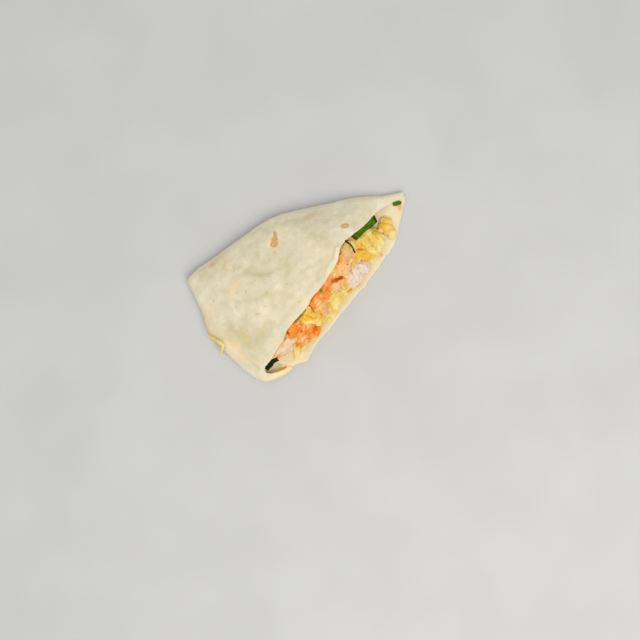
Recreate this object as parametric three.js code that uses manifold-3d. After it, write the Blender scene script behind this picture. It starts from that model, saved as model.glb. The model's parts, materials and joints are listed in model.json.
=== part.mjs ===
// A wedge of chicken quesadilla: a soft flour tortilla folded over melted cheese, chicken and
// spinach, cut straight through so that the filling shows along the cut.
// Millimetres, +Z up. +X runs along the cut from the blunt corner to the sharp tip, the cut faces
// -Y, and the wedge lies on its flat bottom sheet at z = 0.
import * as THREE from 'three';
import { mergeVertices } from 'three/addons/utils/BufferGeometryUtils.js';
import Module from 'manifold-3d';

const wasm = await Module();
wasm.setup();

// ---------------------------------------------------------------- driving dimensions
const SHEET = 1.8; // thickness of the tortilla
const CLEARANCE = 0.35; // gap kept between neighbouring pieces
const FLOOR = SHEET + CLEARANCE; // lowest level of what lies on the bottom sheet
const CROWN_POWER = 1.7; // how early the top sheet rises from the fold towards the cut
const LUMP_HEIGHT = 0.55; // soft waves of the top sheet
const BAND_SECTIONS = 44; // sections along the folded sides
const CORE_SECTIONS = 27; // sections along the filling
const SHRED_WIDTH = 2.3; // grated cheese
const SHRED_THICKNESS = 1.5;
const SHRED_LIFT = 0.45; // its middle over what it lies on
const LEAF_THICKNESS = 0.7;
const FINENESS = 0.11; // smallest detail kept where pieces are cut to each other

// Stations round the closed sides, from the lip beside the blunt corner, round the blunt and the
// rear corner, to the sharp tip: [fold x, fold y, fold radius, flap edge x, flap edge y, its top z].
// The tortilla is folded along the first point, and its top flap is cut at the second.
const STATIONS = [
  [-47.6, -36.3, 1.95, -48.2, -33.4, 3.9],
  [-54.0, -35.4, 2.2, -52.8, -32.3, 5.0],
  [-60.8, -32.3, 2.6, -58.4, -29.2, 6.2],
  [-66.3, -27.8, 2.9, -61.2, -25.8, 7.8],
  [-67.8, -21.0, 3.2, -60.0, -23.3, 9.5],
  [-67.5, -10.5, 3.6, -53.5, -23.2, 13.5],
  [-65.6, 2.0, 3.8, -45.5, -22.7, 18.0],
  [-62.5, 14.4, 3.8, -37.5, -21.8, 21.5],
  [-55.4, 25.0, 3.8, -30.0, -21.2, 24.0],
  [-50.4, 34.3, 3.8, -23.5, -21.7, 25.3],
  [-46.0, 41.3, 3.8, -18.0, -22.0, 26.0],
  [-39.0, 41.0, 3.8, -13.0, -21.5, 26.4],
  [-25.7, 36.6, 4.0, -6.0, -22.0, 26.6],
  [-9.7, 31.6, 4.2, 2.0, -21.7, 26.6],
  [9.7, 24.6, 4.2, 12.0, -20.6, 26.0],
  [24.0, 14.0, 4.0, 17.5, -18.0, 25.0],
  [36.8, 2.8, 3.6, 26.0, -18.0, 22.0],
  [46.0, -4.8, 3.2, 34.0, -20.2, 17.5],
  [53.4, -12.9, 2.7, 41.0, -21.2, 12.0],
  [58.5, -19.0, 2.3, 47.0, -21.6, 7.5],
  [63.3, -23.3, 2.1, 55.0, -24.0, 4.9],
  [67.4, -26.9, 2.05, 64.6, -28.8, 4.2],
];

// The bottom sheet's own cut edge, from the sharp tip back to the lip, with a nick and a torn step.
const CUT_EDGE = [
  [66.4, -29.0], [64.0, -30.3], [57.0, -33.6], [50.5, -36.4], [43.7, -39.4], [40.2, -40.7],
  [36.4, -40.9], [33.4, -41.4], [32.8, -40.2], [31.0, -40.8], [24.0, -41.2], [13.2, -40.8],
  [10.4, -42.2], [8.8, -40.7], [1.3, -40.2], [-9.0, -39.8], [-19.5, -39.6], [-30.0, -38.7],
  [-38.5, -39.0], [-43.4, -38.2], [-47.4, -36.5],
];

// The foot of the filling on the bottom sheet, from the blunt corner to the sharp tip.
const FILLING_FOOT = [
  [-62.0, -23.6], [-56.0, -24.2], [-49.0, -25.6], [-42.0, -30.0], [-36.0, -34.0], [-27.6, -35.6],
  [-15.0, -35.2], [-2.0, -35.6], [8.0, -36.0], [14.0, -36.2], [22.0, -35.6], [30.0, -35.4],
  [36.5, -35.2], [38.8, -33.0], [40.0, -29.6], [41.2, -26.4], [43.4, -24.4], [52.0, -24.2],
  [60.0, -24.4],
];

// The free edge of the inner sheet beside the blunt corner, and the line where it joins the bottom.
const INNER_EDGE = [
  [-42.6, -40.2], [-45.9, -37.6], [-48.2, -35.3], [-50.2, -33.0], [-52.1, -30.6], [-53.5, -27.6],
  [-54.4, -24.6],
];
const INNER_ROOT = [[-30.0, -38.4], [-30.0, -24.0]];
const INNER_RISE = 2.9; // height of that edge over the bottom sheet
const INNER_THICKNESS = 1.6;

// ---------------------------------------------------------------- materials
const food = (color, roughness) => new THREE.MeshStandardMaterial({ color, roughness, metalness: 0 });
const tortillaFinish = food(0xe6d8b4, 0.75);
const cheeseFinish = food(0xf0cc62, 0.45);
const roastFinish = food(0xee9a48, 0.5);
const palestFinish = food(0xe8d3c6, 0.5);
const leafFinish = food(0x3d6410, 0.4);

// ---------------------------------------------------------------- small helpers
const lerp = THREE.MathUtils.lerp;
const clamp = THREE.MathUtils.clamp;
const smooth = (x, from, to) => THREE.MathUtils.smoothstep(x, from, to);
const point = (x, y, z = 0) => new THREE.Vector3(x, y, z);

// A soft, repeatable unevenness between about -1 and 1.
function ripple(x, y, z, size, seed) {
  const a = Math.sin(x / size + 1.7 * seed) * Math.cos(y / size - 2.3 * seed);
  const b = Math.sin((y + z) / (0.61 * size) + seed) * Math.cos((x - z) / (0.83 * size) + 3.1 * seed);
  return 0.6 * a + 0.4 * b;
}

// y of a polyline given from low to high x.
function heightOfLine(line, x) {
  if (x <= line[0][0]) return line[0][1];
  for (let i = 1; i < line.length; i += 1) {
    const [x1, y1] = line[i];
    const [x0, y0] = line[i - 1];
    if (x <= x1) return lerp(y0, y1, (x - x0) / (x1 - x0));
  }
  return line[line.length - 1][1];
}

// ---------------------------------------------------------------- solids
function solidFrom(positions, triangles) {
  const mesh = new wasm.Mesh({
    numProp: 3,
    vertProperties: new Float32Array(positions),
    triVerts: new Uint32Array(triangles),
  });
  return new wasm.Manifold(mesh);
}

function solidFromGeometry(geometry) {
  const bare = geometry.index ? geometry.toNonIndexed() : geometry;
  bare.deleteAttribute('normal');
  bare.deleteAttribute('uv');
  const merged = mergeVertices(bare, 1e-4);
  return solidFrom(merged.attributes.position.array, merged.index.array);
}

function geometryFromSolid(solid) {
  const mesh = solid.getMesh();
  const geometry = new THREE.BufferGeometry();
  geometry.setAttribute('position', new THREE.BufferAttribute(mesh.vertProperties, 3));
  geometry.setIndex(new THREE.BufferAttribute(mesh.triVerts, 1));
  geometry.computeVertexNormals();
  return geometry;
}

// Volume under the triangles of a shell, less than zero for a pocket inside a body.
function signedVolume(positions, triangles) {
  let sum = 0;
  for (let t = 0; t < triangles.length; t += 3) {
    const [a, b, c] = [0, 1, 2].map((k) => new THREE.Vector3().fromArray(positions, 3 * triangles[t + k]));
    sum += a.dot(b.cross(c)) / 6;
  }
  return sum;
}

// The largest body of a solid, without loose scraps.
function largest(solid) {
  const bodies = solid.decompose();
  return bodies.reduce((best, body) => (body.volume() > best.volume() ? body : best));
}

// A body without the pockets sealed inside it.
function withoutPockets(body) {
  const { vertProperties, triVerts } = body.getMesh();
  const parent = Array.from({ length: vertProperties.length / 3 }, (_, i) => i);
  const find = (i) => {
    let top = i;
    while (parent[top] !== top) top = parent[top];
    parent[i] = top;
    return top;
  };
  for (let t = 0; t < triVerts.length; t += 3) {
    parent[find(triVerts[t + 1])] = find(triVerts[t]);
    parent[find(triVerts[t + 2])] = find(triVerts[t]);
  }
  const shells = new Map();
  for (let t = 0; t < triVerts.length; t += 3) {
    const key = find(triVerts[t]);
    if (!shells.has(key)) shells.set(key, []);
    shells.get(key).push(triVerts[t], triVerts[t + 1], triVerts[t + 2]);
  }
  if (shells.size === 1) return body;
  const volume = (triangles) => signedVolume(vertProperties, triangles);
  const best = [...shells.values()].reduce((a, b) => (volume(b) > volume(a) ? b : a));
  return solidFrom(vertProperties, best);
}

// Triangles of an end cap, turned the way its outline runs. The points are nudged by a hair, so that
// none on a straight stretch is passed over.
function capTriangles(outline) {
  const nudge = 1e-5;
  const nudged = outline.map(({ x, y }, i) => (
    new THREE.Vector2(x + nudge * Math.sin(13 * i), y + nudge * Math.cos(29 * i))
  ));
  const triangles = THREE.ShapeUtils.triangulateShape(nudged, []);
  if (THREE.ShapeUtils.area(nudged) > 0) return triangles;
  return triangles.map(([a, b, c]) => [a, c, b]);
}

// A closed body through rings of points, each ring with its own flat outline for the end caps.
function loft(rings, flatRings) {
  const count = rings[0].length;
  const positions = rings.flat().flatMap((p) => [p.x, p.y, p.z]);
  const triangles = [];
  for (let i = 0; i + 1 < rings.length; i += 1) {
    for (let j = 0; j < count; j += 1) {
      const a = i * count + j;
      const b = i * count + ((j + 1) % count);
      triangles.push(a, b, b + count, a, b + count, a + count);
    }
  }
  const last = (rings.length - 1) * count;
  for (const [a, b, c] of capTriangles(flatRings[0])) triangles.push(a, c, b);
  for (const [a, b, c] of capTriangles(flatRings[flatRings.length - 1])) {
    triangles.push(last + a, last + b, last + c);
  }
  return outward(positions, triangles);
}

// The same body with its faces turned outward, whichever way its rings ran.
function outward(positions, triangles) {
  let volume = 0;
  const corner = (i) => point(positions[3 * i], positions[3 * i + 1], positions[3 * i + 2]);
  for (let i = 0; i < triangles.length; i += 3) {
    const [a, b, c] = [0, 1, 2].map((k) => corner(triangles[i + k]));
    volume += a.dot(b.cross(c));
  }
  if (volume >= 0) return solidFrom(positions, triangles);
  const turned = [];
  for (let i = 0; i < triangles.length; i += 3) {
    turned.push(triangles[i], triangles[i + 2], triangles[i + 1]);
  }
  return solidFrom(positions, turned);
}

// A thin body between two equal grids of points, rows by columns.
function sheetBody(upper, lower) {
  const rows = upper.length;
  const columns = upper[0].length;
  const positions = [...upper.flat(), ...lower.flat()].flatMap((p) => [p.x, p.y, p.z]);
  const top = (i, j) => i * columns + j;
  const under = (i, j) => rows * columns + i * columns + j;
  const triangles = [];
  const quad = (a, b, c, d) => triangles.push(a, b, c, a, c, d);
  for (let i = 0; i + 1 < rows; i += 1) {
    for (let j = 0; j + 1 < columns; j += 1) {
      quad(top(i, j), top(i + 1, j), top(i + 1, j + 1), top(i, j + 1));
      triangles.push(under(i, j), under(i + 1, j + 1), under(i + 1, j));
      triangles.push(under(i, j), under(i, j + 1), under(i + 1, j + 1));
    }
  }
  const rim = [];
  for (let j = 0; j + 1 < columns; j += 1) rim.push([0, j]);
  for (let i = 0; i + 1 < rows; i += 1) rim.push([i, columns - 1]);
  for (let j = columns - 1; j > 0; j -= 1) rim.push([rows - 1, j]);
  for (let i = rows - 1; i > 0; i -= 1) rim.push([i, 0]);
  rim.forEach(([i, j], k) => {
    const [m, n] = rim[(k + 1) % rim.length];
    quad(top(i, j), top(m, n), under(m, n), under(i, j));
  });
  return outward(positions, triangles);
}

// ---------------------------------------------------------------- the folded tortilla
const foldLine = new THREE.CatmullRomCurve3(STATIONS.map(([x, y, radius]) => point(x, y, radius)));
const flapLine = new THREE.CatmullRomCurve3(STATIONS.map((s) => point(s[3], s[4], s[5])));
const LAST = STATIONS.length - 1;

// The section at station number n, which may be a fraction: it runs from the fold to the flap's
// edge. Distances p are measured square to the fold, so the sheet keeps its thickness there.
function sectionAt(n) {
  const v = clamp(n / LAST, 0, 1);
  const fold = foldLine.getPoint(v);
  const flap = flapLine.getPoint(v);
  const run = point(flap.x - fold.x, flap.y - fold.y);
  const length = run.length();
  const along = run.normalize();
  const step = 0.004;
  const tangent = foldLine.getPoint(Math.min(1, v + step)).sub(foldLine.getPoint(Math.max(0, v - step)));
  const inward = point(tangent.y, -tangent.x).normalize();
  const facing = clamp(along.dot(inward), 0.6, 1);
  return { n, fold, along, length, radius: fold.z, top: flap.z, facing, reach: length * facing };
}

// Soft waves of the top sheet, and the narrow curled strip along the middle of the flap's edge.
function unevenness(section, p, x, y) {
  const waves = LUMP_HEIGHT * ripple(x, y, 0, 7.5, 1.3) * smooth(p, 3, 12);
  const strip = smooth(section.n, 13.2, 13.7) * (1 - smooth(section.n, 15.0, 15.5));
  const curl = 0.8 * strip * smooth(p, section.reach - 4.9, section.reach - 3.7);
  return waves + curl;
}

// Height of the outer face of the top sheet at distance p from the fold.
function outerTop(section, p) {
  const { radius, top, reach, fold, along, facing } = section;
  const rounded = Math.min(p, radius);
  const quarter = Math.sqrt(Math.max(0, radius ** 2 - (radius - rounded) ** 2));
  const rise = 1 - (1 - clamp(p / reach, 0, 1)) ** CROWN_POWER;
  const s = p / facing;
  const wave = unevenness(section, p, fold.x + along.x * s, fold.y + along.y * s);
  return radius + quarter + (top - 2 * radius) * rise + wave;
}

// A point under the top sheet's outer face, moved in by depth along the face's normal: [p, z].
function topPoint(section, p, depth) {
  const h = 0.02;
  const low = Math.max(0, p - h);
  const slope = (outerTop(section, p + h) - outerTop(section, low)) / (p + h - low);
  const size = Math.hypot(1, slope);
  return [p + (depth * slope) / size, outerTop(section, p) - depth / size];
}

// A point in space from a section's own p and z.
function inSpace(section, [p, z]) {
  const s = p / section.facing;
  return point(section.fold.x + section.along.x * s, section.fold.y + section.along.y * s, z);
}

const BOTTOM_LAP = 1.4; // how far the folded band reaches in along the bottom
const FOLD_STEPS = 3; // facets in each quarter of the fold
const TOP_STEPS = [0.04, 0.1, 0.19, 0.31, 0.46, 0.63, 0.82, 1]; // from the fold to the edge strip
const EDGE_STRIP = [4.9, 3.7, 1.4, 0]; // last points before the flap's edge

// Where a section's top sheet is sampled beyond its fold.
function topSamples(section) {
  const start = section.radius;
  const strip = Math.min(EDGE_STRIP[0], 0.5 * (section.reach - start));
  const end = section.reach - strip;
  const body = TOP_STEPS.map((t) => lerp(start, end, t));
  const edge = EDGE_STRIP.slice(1).map((e) => section.reach - (e * strip) / EDGE_STRIP[0]);
  return [...body, ...edge];
}

// One face of the sheet round the fold, at the given depth below its outer face: [p, z] points.
function facePoints(section, depth) {
  const { radius } = section;
  const inner = radius - depth;
  const points = [[radius + BOTTOM_LAP, depth]];
  for (let i = 0; i < FOLD_STEPS; i += 1) {
    const angle = (Math.PI / 2) * (1 - i / FOLD_STEPS);
    points.push([radius - inner * Math.cos(angle), radius - inner * Math.sin(angle)]);
  }
  for (let i = 0; i <= FOLD_STEPS; i += 1) {
    const angle = (Math.PI / 2) * (i / FOLD_STEPS);
    const p = radius - radius * Math.cos(angle);
    const lift = outerTop(section, p) - radius - radius * Math.sin(angle);
    points.push([radius - inner * Math.cos(angle), radius + inner * Math.sin(angle) + lift]);
  }
  for (const p of topSamples(section)) points.push(topPoint(section, p, depth));
  return points;
}

function foldedBand() {
  const rings = [];
  const flats = [];
  for (let i = 0; i <= BAND_SECTIONS; i += 1) {
    const section = sectionAt((LAST * i) / BAND_SECTIONS);
    const ring = [...facePoints(section, 0), ...facePoints(section, SHEET).reverse()];
    rings.push(ring.map((q) => inSpace(section, q)));
    flats.push(ring.map(([p, z]) => new THREE.Vector2(p, z)));
  }
  return loft(rings, flats);
}

function bottomPlate() {
  const outline = CUT_EDGE.map(([x, y]) => new THREE.Vector2(x, y));
  for (let i = 0; i <= BAND_SECTIONS; i += 1) {
    const section = sectionAt((LAST * i) / BAND_SECTIONS);
    const { x, y } = inSpace(section, [section.radius + 0.5 * BOTTOM_LAP, 0]);
    outline.push(new THREE.Vector2(x, y));
  }
  const shape = new THREE.Shape(outline);
  return solidFromGeometry(new THREE.ExtrudeGeometry(shape, { depth: SHEET, bevelEnabled: false }));
}

// The second sheet beside the blunt corner, which lifts off the bottom towards its free edge.
function innerSheet(grow) {
  const edge = new THREE.CatmullRomCurve3(INNER_EDGE.map(([x, y]) => point(x, y)));
  const [rootFront, rootBack] = INNER_ROOT.map(([x, y]) => point(x, y));
  const columns = 10;
  const rows = 7;
  const upper = [];
  const lower = [];
  for (let i = 0; i <= rows; i += 1) {
    const t = i / rows;
    const topRow = [];
    const underRow = [];
    for (let j = 0; j <= columns; j += 1) {
      const u = j / columns;
      const root = rootFront.clone().lerp(rootBack, u);
      const place = root.lerp(edge.getPoint(u), t * (1 + grow / 18));
      place.y += lerp(-grow, grow, u);
      const rise = INNER_RISE * lerp(0.45, 1, smooth(u, 0, 0.5)) + 0.3;
      const z = SHEET - 0.3 + rise * t ** 1.4 + 0.25 * t * ripple(place.x, place.y, 0, 3, 4.2);
      topRow.push(point(place.x, place.y, z + grow));
      underRow.push(point(place.x, place.y, z - lerp(1.3, INNER_THICKNESS, t) - grow));
    }
    upper.push(topRow);
    lower.push(underRow);
  }
  return sheetBody(upper, lower);
}

// ---------------------------------------------------------------- the space for the filling
// Heights of a section's underside, from just inside the fold to near the flap's edge.
function underside(section, steps, roomNeeded, depth) {
  const last = section.reach - 0.8;
  let first = section.radius + 0.2;
  while (first < last && topPoint(section, first, depth)[1] < FLOOR + roomNeeded) first += 0.25;
  const points = [];
  for (let i = 0; i <= steps; i += 1) points.push(topPoint(section, lerp(first, last, i / steps), depth));
  return points;
}

const OUTER_REACH = 26; // farthest that the filling may run out past the flap's edge
const OPEN_TOP = 40;
const OPEN_FRONT = -60;
const SPACE_STATIONS = [3, 19.7];

// The space under the top flap.
function coveredSpace() {
  const rings = [];
  const flats = [];
  const count = 36;
  for (let i = 0; i <= count; i += 1) {
    const section = sectionAt(lerp(...SPACE_STATIONS, i / count));
    const under = underside(section, 7, 0.5, SHEET + CLEARANCE);
    const lip = [section.reach + 2 * CLEARANCE, under[under.length - 1][1]];
    const ring = [[under[0][0], FLOOR], [lip[0], FLOOR], lip, ...under.reverse()];
    rings.push(ring.map((q) => inSpace(section, q)));
    flats.push(ring.map(([p, z]) => new THREE.Vector2(p, z)));
  }
  return loft(rings, flats);
}

// The open space in front of the flap's edge.
function frontSpace() {
  const outline = [];
  const count = 60;
  for (let i = 0; i <= count; i += 1) {
    const n = lerp(...SPACE_STATIONS, i / count);
    const { x, y } = flapLine.getPoint(n / LAST);
    outline.push(new THREE.Vector2(x, y - CLEARANCE));
  }
  outline.push(new THREE.Vector2(outline[count].x, OPEN_FRONT));
  outline.push(new THREE.Vector2(outline[0].x, OPEN_FRONT));
  const depth = OPEN_TOP - FLOOR;
  const prism = new THREE.ExtrudeGeometry(new THREE.Shape(outline), { depth, bevelEnabled: false });
  return solidFromGeometry(prism.translate(0, 0, FLOOR));
}

// Distance p at which a section's line meets the foot of the filling.
function footDistance(section) {
  let p = section.reach + 0.6;
  while (p < section.reach + OUTER_REACH) {
    const { x, y } = inSpace(section, [p, 0]);
    if (y < heightOfLine(FILLING_FOOT, x)) break;
    p += 0.2;
  }
  return p;
}

const FRONT_STEPS = 7;
const FRONT_BULGE = 3.0;
const CRAGS = 1.0;
const CORE_INSET = 0.15; // the core keeps a little more room than the pieces in it

// The melted cheese that carries the rest: it fills the fold and slopes down to the cut edge.
function cheeseCore() {
  const rings = [];
  const flats = [];
  const low = FLOOR + CORE_INSET;
  const firstStation = 3.6;
  const lastStation = 19.2;
  for (let i = 0; i <= CORE_SECTIONS; i += 1) {
    const section = sectionAt(lerp(firstStation, lastStation, i / CORE_SECTIONS));
    const under = underside(section, 4, 0.9, SHEET + CLEARANCE + CORE_INSET);
    const brow = under[under.length - 1];
    const foot = [footDistance(section), low];
    const across = Math.hypot(foot[0] - brow[0], foot[1] - brow[1]);
    const normal = [(brow[1] - foot[1]) / across, (foot[0] - brow[0]) / across];
    const ring = [[under[0][0], low], foot];
    for (let k = 1; k < FRONT_STEPS; k += 1) {
      const t = k / FRONT_STEPS;
      const flat = [lerp(foot[0], brow[0], t), lerp(foot[1], brow[1], t)];
      const place = inSpace(section, flat);
      const crag = CRAGS * ripple(place.x, place.y, place.z, 2.3, 0.7);
      const out = Math.sin(Math.PI * t) * (FRONT_BULGE + crag) * Math.min(1, across / 10);
      const z = Math.max(low, flat[1] + out * normal[1]);
      ring.push([flat[0] + out * normal[0], z]);
    }
    ring.push(...under.reverse());
    rings.push(ring.map((q) => inSpace(section, q)));
    flats.push(ring.map(([p, z]) => new THREE.Vector2(p, z)));
  }
  return loft(rings, flats);
}

// ---------------------------------------------------------------- the pieces of the filling
const LARGE_LOBE = 5.5; // half length from which a lobe gets finer facets

// A lobe of meat: a ball stretched to three half sizes, turned, and torn into coarse fibres that
// run along its length. Angles are in degrees: turn about Z, then roll about its own length.
function meatLobe([at, half], { turn, pitch, roll, seed }, grow) {
  const ball = mergeVertices(bareBall(half[0] > LARGE_LOBE ? 3 : 2), 1e-4);
  const spin = new THREE.Euler(
    THREE.MathUtils.degToRad(roll), THREE.MathUtils.degToRad(pitch), THREE.MathUtils.degToRad(turn), 'ZYX',
  );
  const place = ball.attributes.position;
  for (let i = 0; i < place.count; i += 1) {
    const q = new THREE.Vector3().fromBufferAttribute(place, i);
    const blunt = 1 + 0.2 * (Math.abs(q.x) ** 3 + Math.abs(q.y) ** 3) * (1 - Math.abs(q.z));
    const fibres = 0.06 * Math.sin(9 * q.y + 5 * q.z + 1.5 * Math.sin(2.2 * q.x + seed) + seed);
    const dents = 0.15 * ripple(q.x, q.y, q.z, 0.42, seed + at[0]);
    const tears = 0.07 * ripple(q.x, q.y, q.z, 0.2, seed - at[1]);
    q.multiplyScalar(blunt + fibres + dents + tears);
    q.set(q.x * (half[0] + grow), q.y * (half[1] + grow), q.z * (half[2] + grow));
    q.applyEuler(spin).add(point(...at));
    place.setXYZ(i, q.x, q.y, q.z);
  }
  return solidFrom(place.array, ball.index.array);
}

function meatLump(spec, grow) {
  const parts = spec.lobes.map((lobe) => meatLobe(lobe, spec, grow));
  if (spec.strand) parts.push(strand(spec.strand, grow));
  return parts.reduce((all, part) => all.add(part));
}

// A curled strand of meat: a round section swept along a line, thinner at its ends.
function strand({ line, thickness }, grow) {
  const curve = new THREE.CatmullRomCurve3(line.map((p) => point(...p)));
  const steps = 2 * (line.length - 1);
  const sides = 6;
  const rings = [];
  const flats = [];
  for (let i = 0; i <= steps; i += 1) {
    const t = i / steps;
    const tangent = curve.getTangent(t);
    const past = i === 0 ? -grow : i === steps ? grow : 0;
    const centre = curve.getPoint(t).addScaledVector(tangent, past);
    const side = tangent.clone().cross(point(0, 0, 1)).normalize();
    const up = side.clone().cross(tangent);
    const radius = 0.5 * thickness * (1 - 0.4 * Math.abs(2 * t - 1) ** 4) + grow;
    const flat = [];
    for (let k = 0; k < sides; k += 1) {
      const angle = (2 * Math.PI * k) / sides;
      flat.push(new THREE.Vector2(radius * Math.cos(angle), radius * Math.sin(angle)));
    }
    rings.push(flat.map((q) => centre.clone().addScaledVector(side, q.x).addScaledVector(up, q.y)));
    flats.push(flat);
  }
  return loft(rings, flats);
}

function bareBall(detail) {
  const ball = new THREE.IcosahedronGeometry(1, detail);
  ball.deleteAttribute('normal');
  ball.deleteAttribute('uv');
  return ball;
}

// Height of a shape's upper side at a place seen from above.
function heightOn(mesh, x, y) {
  const ray = new THREE.Raycaster(point(x, y, OPEN_TOP), point(0, 0, -1));
  const [first] = ray.intersectObject(mesh);
  return first ? first.point.z : FLOOR;
}

function heap([middle, half]) {
  const ball = mergeVertices(bareBall(2), 1e-4);
  const place = ball.attributes.position;
  for (let i = 0; i < place.count; i += 1) {
    const q = new THREE.Vector3().fromBufferAttribute(place, i);
    q.multiplyScalar(1 + 0.1 * ripple(q.x, q.y, q.z, 0.3, middle[0]));
    q.multiply(point(...half)).add(point(...middle));
    place.setXYZ(i, q.x, q.y, q.z);
  }
  return solidFrom(place.array, ball.index.array);
}

function curd([x, y, radius], ground) {
  const ball = mergeVertices(bareBall(1), 1e-4);
  const z = heightOn(ground, x, y) - 0.3 * radius;
  ball.scale(radius, 0.9 * radius, 0.8 * radius).translate(x, y, z);
  return solidFrom(ball.attributes.position.array, ball.index.array);
}

// A bent strip of four sides along a smooth line, its broad side up or turned to the given normals.
function strip(line, width, thickness, normals = null) {
  const curve = new THREE.CatmullRomCurve3(line.map((p) => point(...p)));
  const steps = 2 * (line.length - 1);
  const rings = [];
  const flats = [];
  for (let i = 0; i <= steps; i += 1) {
    const t = i / steps;
    const centre = curve.getPoint(t);
    const tangent = curve.getTangent(t);
    const facing = normals ? normals.getPoint(t) : point(0, 0, 1);
    const side = tangent.clone().cross(facing).normalize();
    const up = side.clone().cross(tangent).normalize();
    const taper = 1 - 0.45 * Math.abs(2 * t - 1) ** 4;
    const flat = [[-1, -1], [1, -1], [0.8, 1], [-0.8, 1]]
      .map(([a, b]) => new THREE.Vector2(0.5 * a * width * taper, 0.5 * b * thickness * taper));
    rings.push(flat.map((q) => centre.clone().addScaledVector(side, q.x).addScaledVector(up, q.y)));
    flats.push(flat);
  }
  return loft(rings, flats);
}

// A wilted leaf: a wavy thin sheet along a line, spread to one side.
function leaf({ line, spread, wave, tip, seed }, grow) {
  const curve = new THREE.CatmullRomCurve3(line.map((p) => point(...p)));
  const across = point(...spread);
  const along = curve.getPoint(1).sub(curve.getPoint(0)).normalize();
  const normal = across.clone().cross(along).normalize();
  const steps = 9;
  const columns = 3;
  const upper = [];
  const lower = [];
  for (let i = 0; i <= steps; i += 1) {
    const t = lerp(-grow / 16, 1 + grow / 16, i / steps);
    const breadth = lerp(tip, 1, Math.sin(Math.PI * clamp(t, 0.02, 0.98)) ** 0.6);
    const topRow = [];
    const underRow = [];
    for (let j = 0; j <= columns; j += 1) {
      const u = lerp(-grow / 4, 1 + grow / 4, j / columns) * breadth;
      const swell = wave * Math.sin(5.5 * t + 2.1 * u + seed) * (0.3 + u);
      const middle = curve.getPoint(clamp(t, 0, 1)).addScaledVector(along, (t - clamp(t, 0, 1)) * 16);
      middle.addScaledVector(across, u).addScaledVector(normal, swell);
      topRow.push(middle.clone().addScaledVector(normal, 0.5 * LEAF_THICKNESS + grow));
      underRow.push(middle.clone().addScaledVector(normal, -0.5 * LEAF_THICKNESS - grow));
    }
    upper.push(topRow);
    lower.push(underRow);
  }
  return sheetBody(upper, lower);
}

// Chicken from the sharp tip to the blunt corner, in lobes of [centre, half sizes]. roast pieces are
// stained orange by the sauce.
const CHICKEN = [
  { lobes: [[[19.6, -21.8, 20.2], [5.0, 4.2, 3.5]], [[12.0, -24.2, 19.2], [6.6, 4.8, 3.6]]],
    turn: 28, pitch: -14, roll: 40, seed: 1.1, roast: true },
  { lobes: [[[10.6, -32.4, 8.4], [5.8, 7.4, 4.3]], [[17.6, -33.2, 7.4], [4.2, 5.4, 3.6]]],
    turn: -8, pitch: 0, roll: 54, seed: 2.4, roast: false },
  { lobes: [[[0.8, -28.2, 14.8], [3.8, 3.7, 3.0]]], turn: 0, pitch: 0, roll: 50, seed: 3.2, roast: false },
  { lobes: [[[-4.2, -24.0, 19.0], [6.6, 5.4, 4.2]], [[-11.0, -24.0, 18.2], [7.2, 5.8, 4.0]],
      [[2.0, -22.4, 20.6], [4.4, 3.2, 2.8]]],
    turn: 5, pitch: -4, roll: 54, seed: 4.9, roast: true },
  { lobes: [[[-11.8, -29.2, 13.0], [5.0, 4.4, 3.5]]], turn: 20, pitch: 0, roll: 52, seed: 5.3, roast: false },
  { lobes: [[[-32.0, -24.0, 17.4], [5.8, 5.4, 3.8]]], turn: 8, pitch: -12, roll: 50, seed: 6.6, roast: true },
  { lobes: [[[-31.6, -31.0, 8.6], [5.6, 4.4, 3.4]], [[-27.4, -31.0, 9.4], [3.4, 3.4, 2.6]]],
    strand: {
      line: [[-38.8, -29.6, 9.8], [-34.2, -28.8, 12.0], [-28.8, -28.4, 13.0], [-24.8, -30.0, 11.6],
        [-24.0, -32.8, 8.6], [-26.4, -34.4, 6.4], [-29.6, -33.8, 7.4]],
      thickness: 4.4,
    },
    turn: 8, pitch: 0, roll: 52, seed: 7.7, roast: true },
  { lobes: [[[-41.2, -25.6, 12.7], [8.2, 4.4, 3.2]]],
    turn: -2, pitch: -16, roll: 46, seed: 8.5, roast: false },
];

// Spinach: along the flap's edge near the tip, a thin edge beside it, one along the middle of the
// edge, and a dark one in the blunt corner.
const SPINACH = [
  { line: [[27.4, -19.6, 18.6], [34.0, -20.6, 14.8], [40.0, -21.6, 10.6], [45.6, -22.4, 6.9]],
    spread: [0.5, -2.3, -2.7], wave: 0.3, tip: 0.8, seed: 0.4 },
  { line: [[23.4, -18.4, 20.9], [23.2, -21.2, 20.8], [22.8, -25.4, 17.6]],
    spread: [1.2, 1.4, -3.4], wave: 0.2, tip: 0.7, seed: 1.9 },
  { line: [[-19.6, -22.6, 21.9], [-24.4, -22.8, 21.6], [-29.0, -22.4, 21.0]],
    spread: [0.2, 3.4, -0.6], wave: 0.2, tip: 0.6, seed: 2.6 },
  { line: [[-59.6, -25.4, 6.0], [-56.4, -26.0, 7.8], [-53.6, -26.0, 8.8], [-50.8, -27.0, 8.2]],
    spread: [0.6, 3.8, 1.9], wave: 0.35, tip: 0.5, seed: 3.3 },
];

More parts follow.
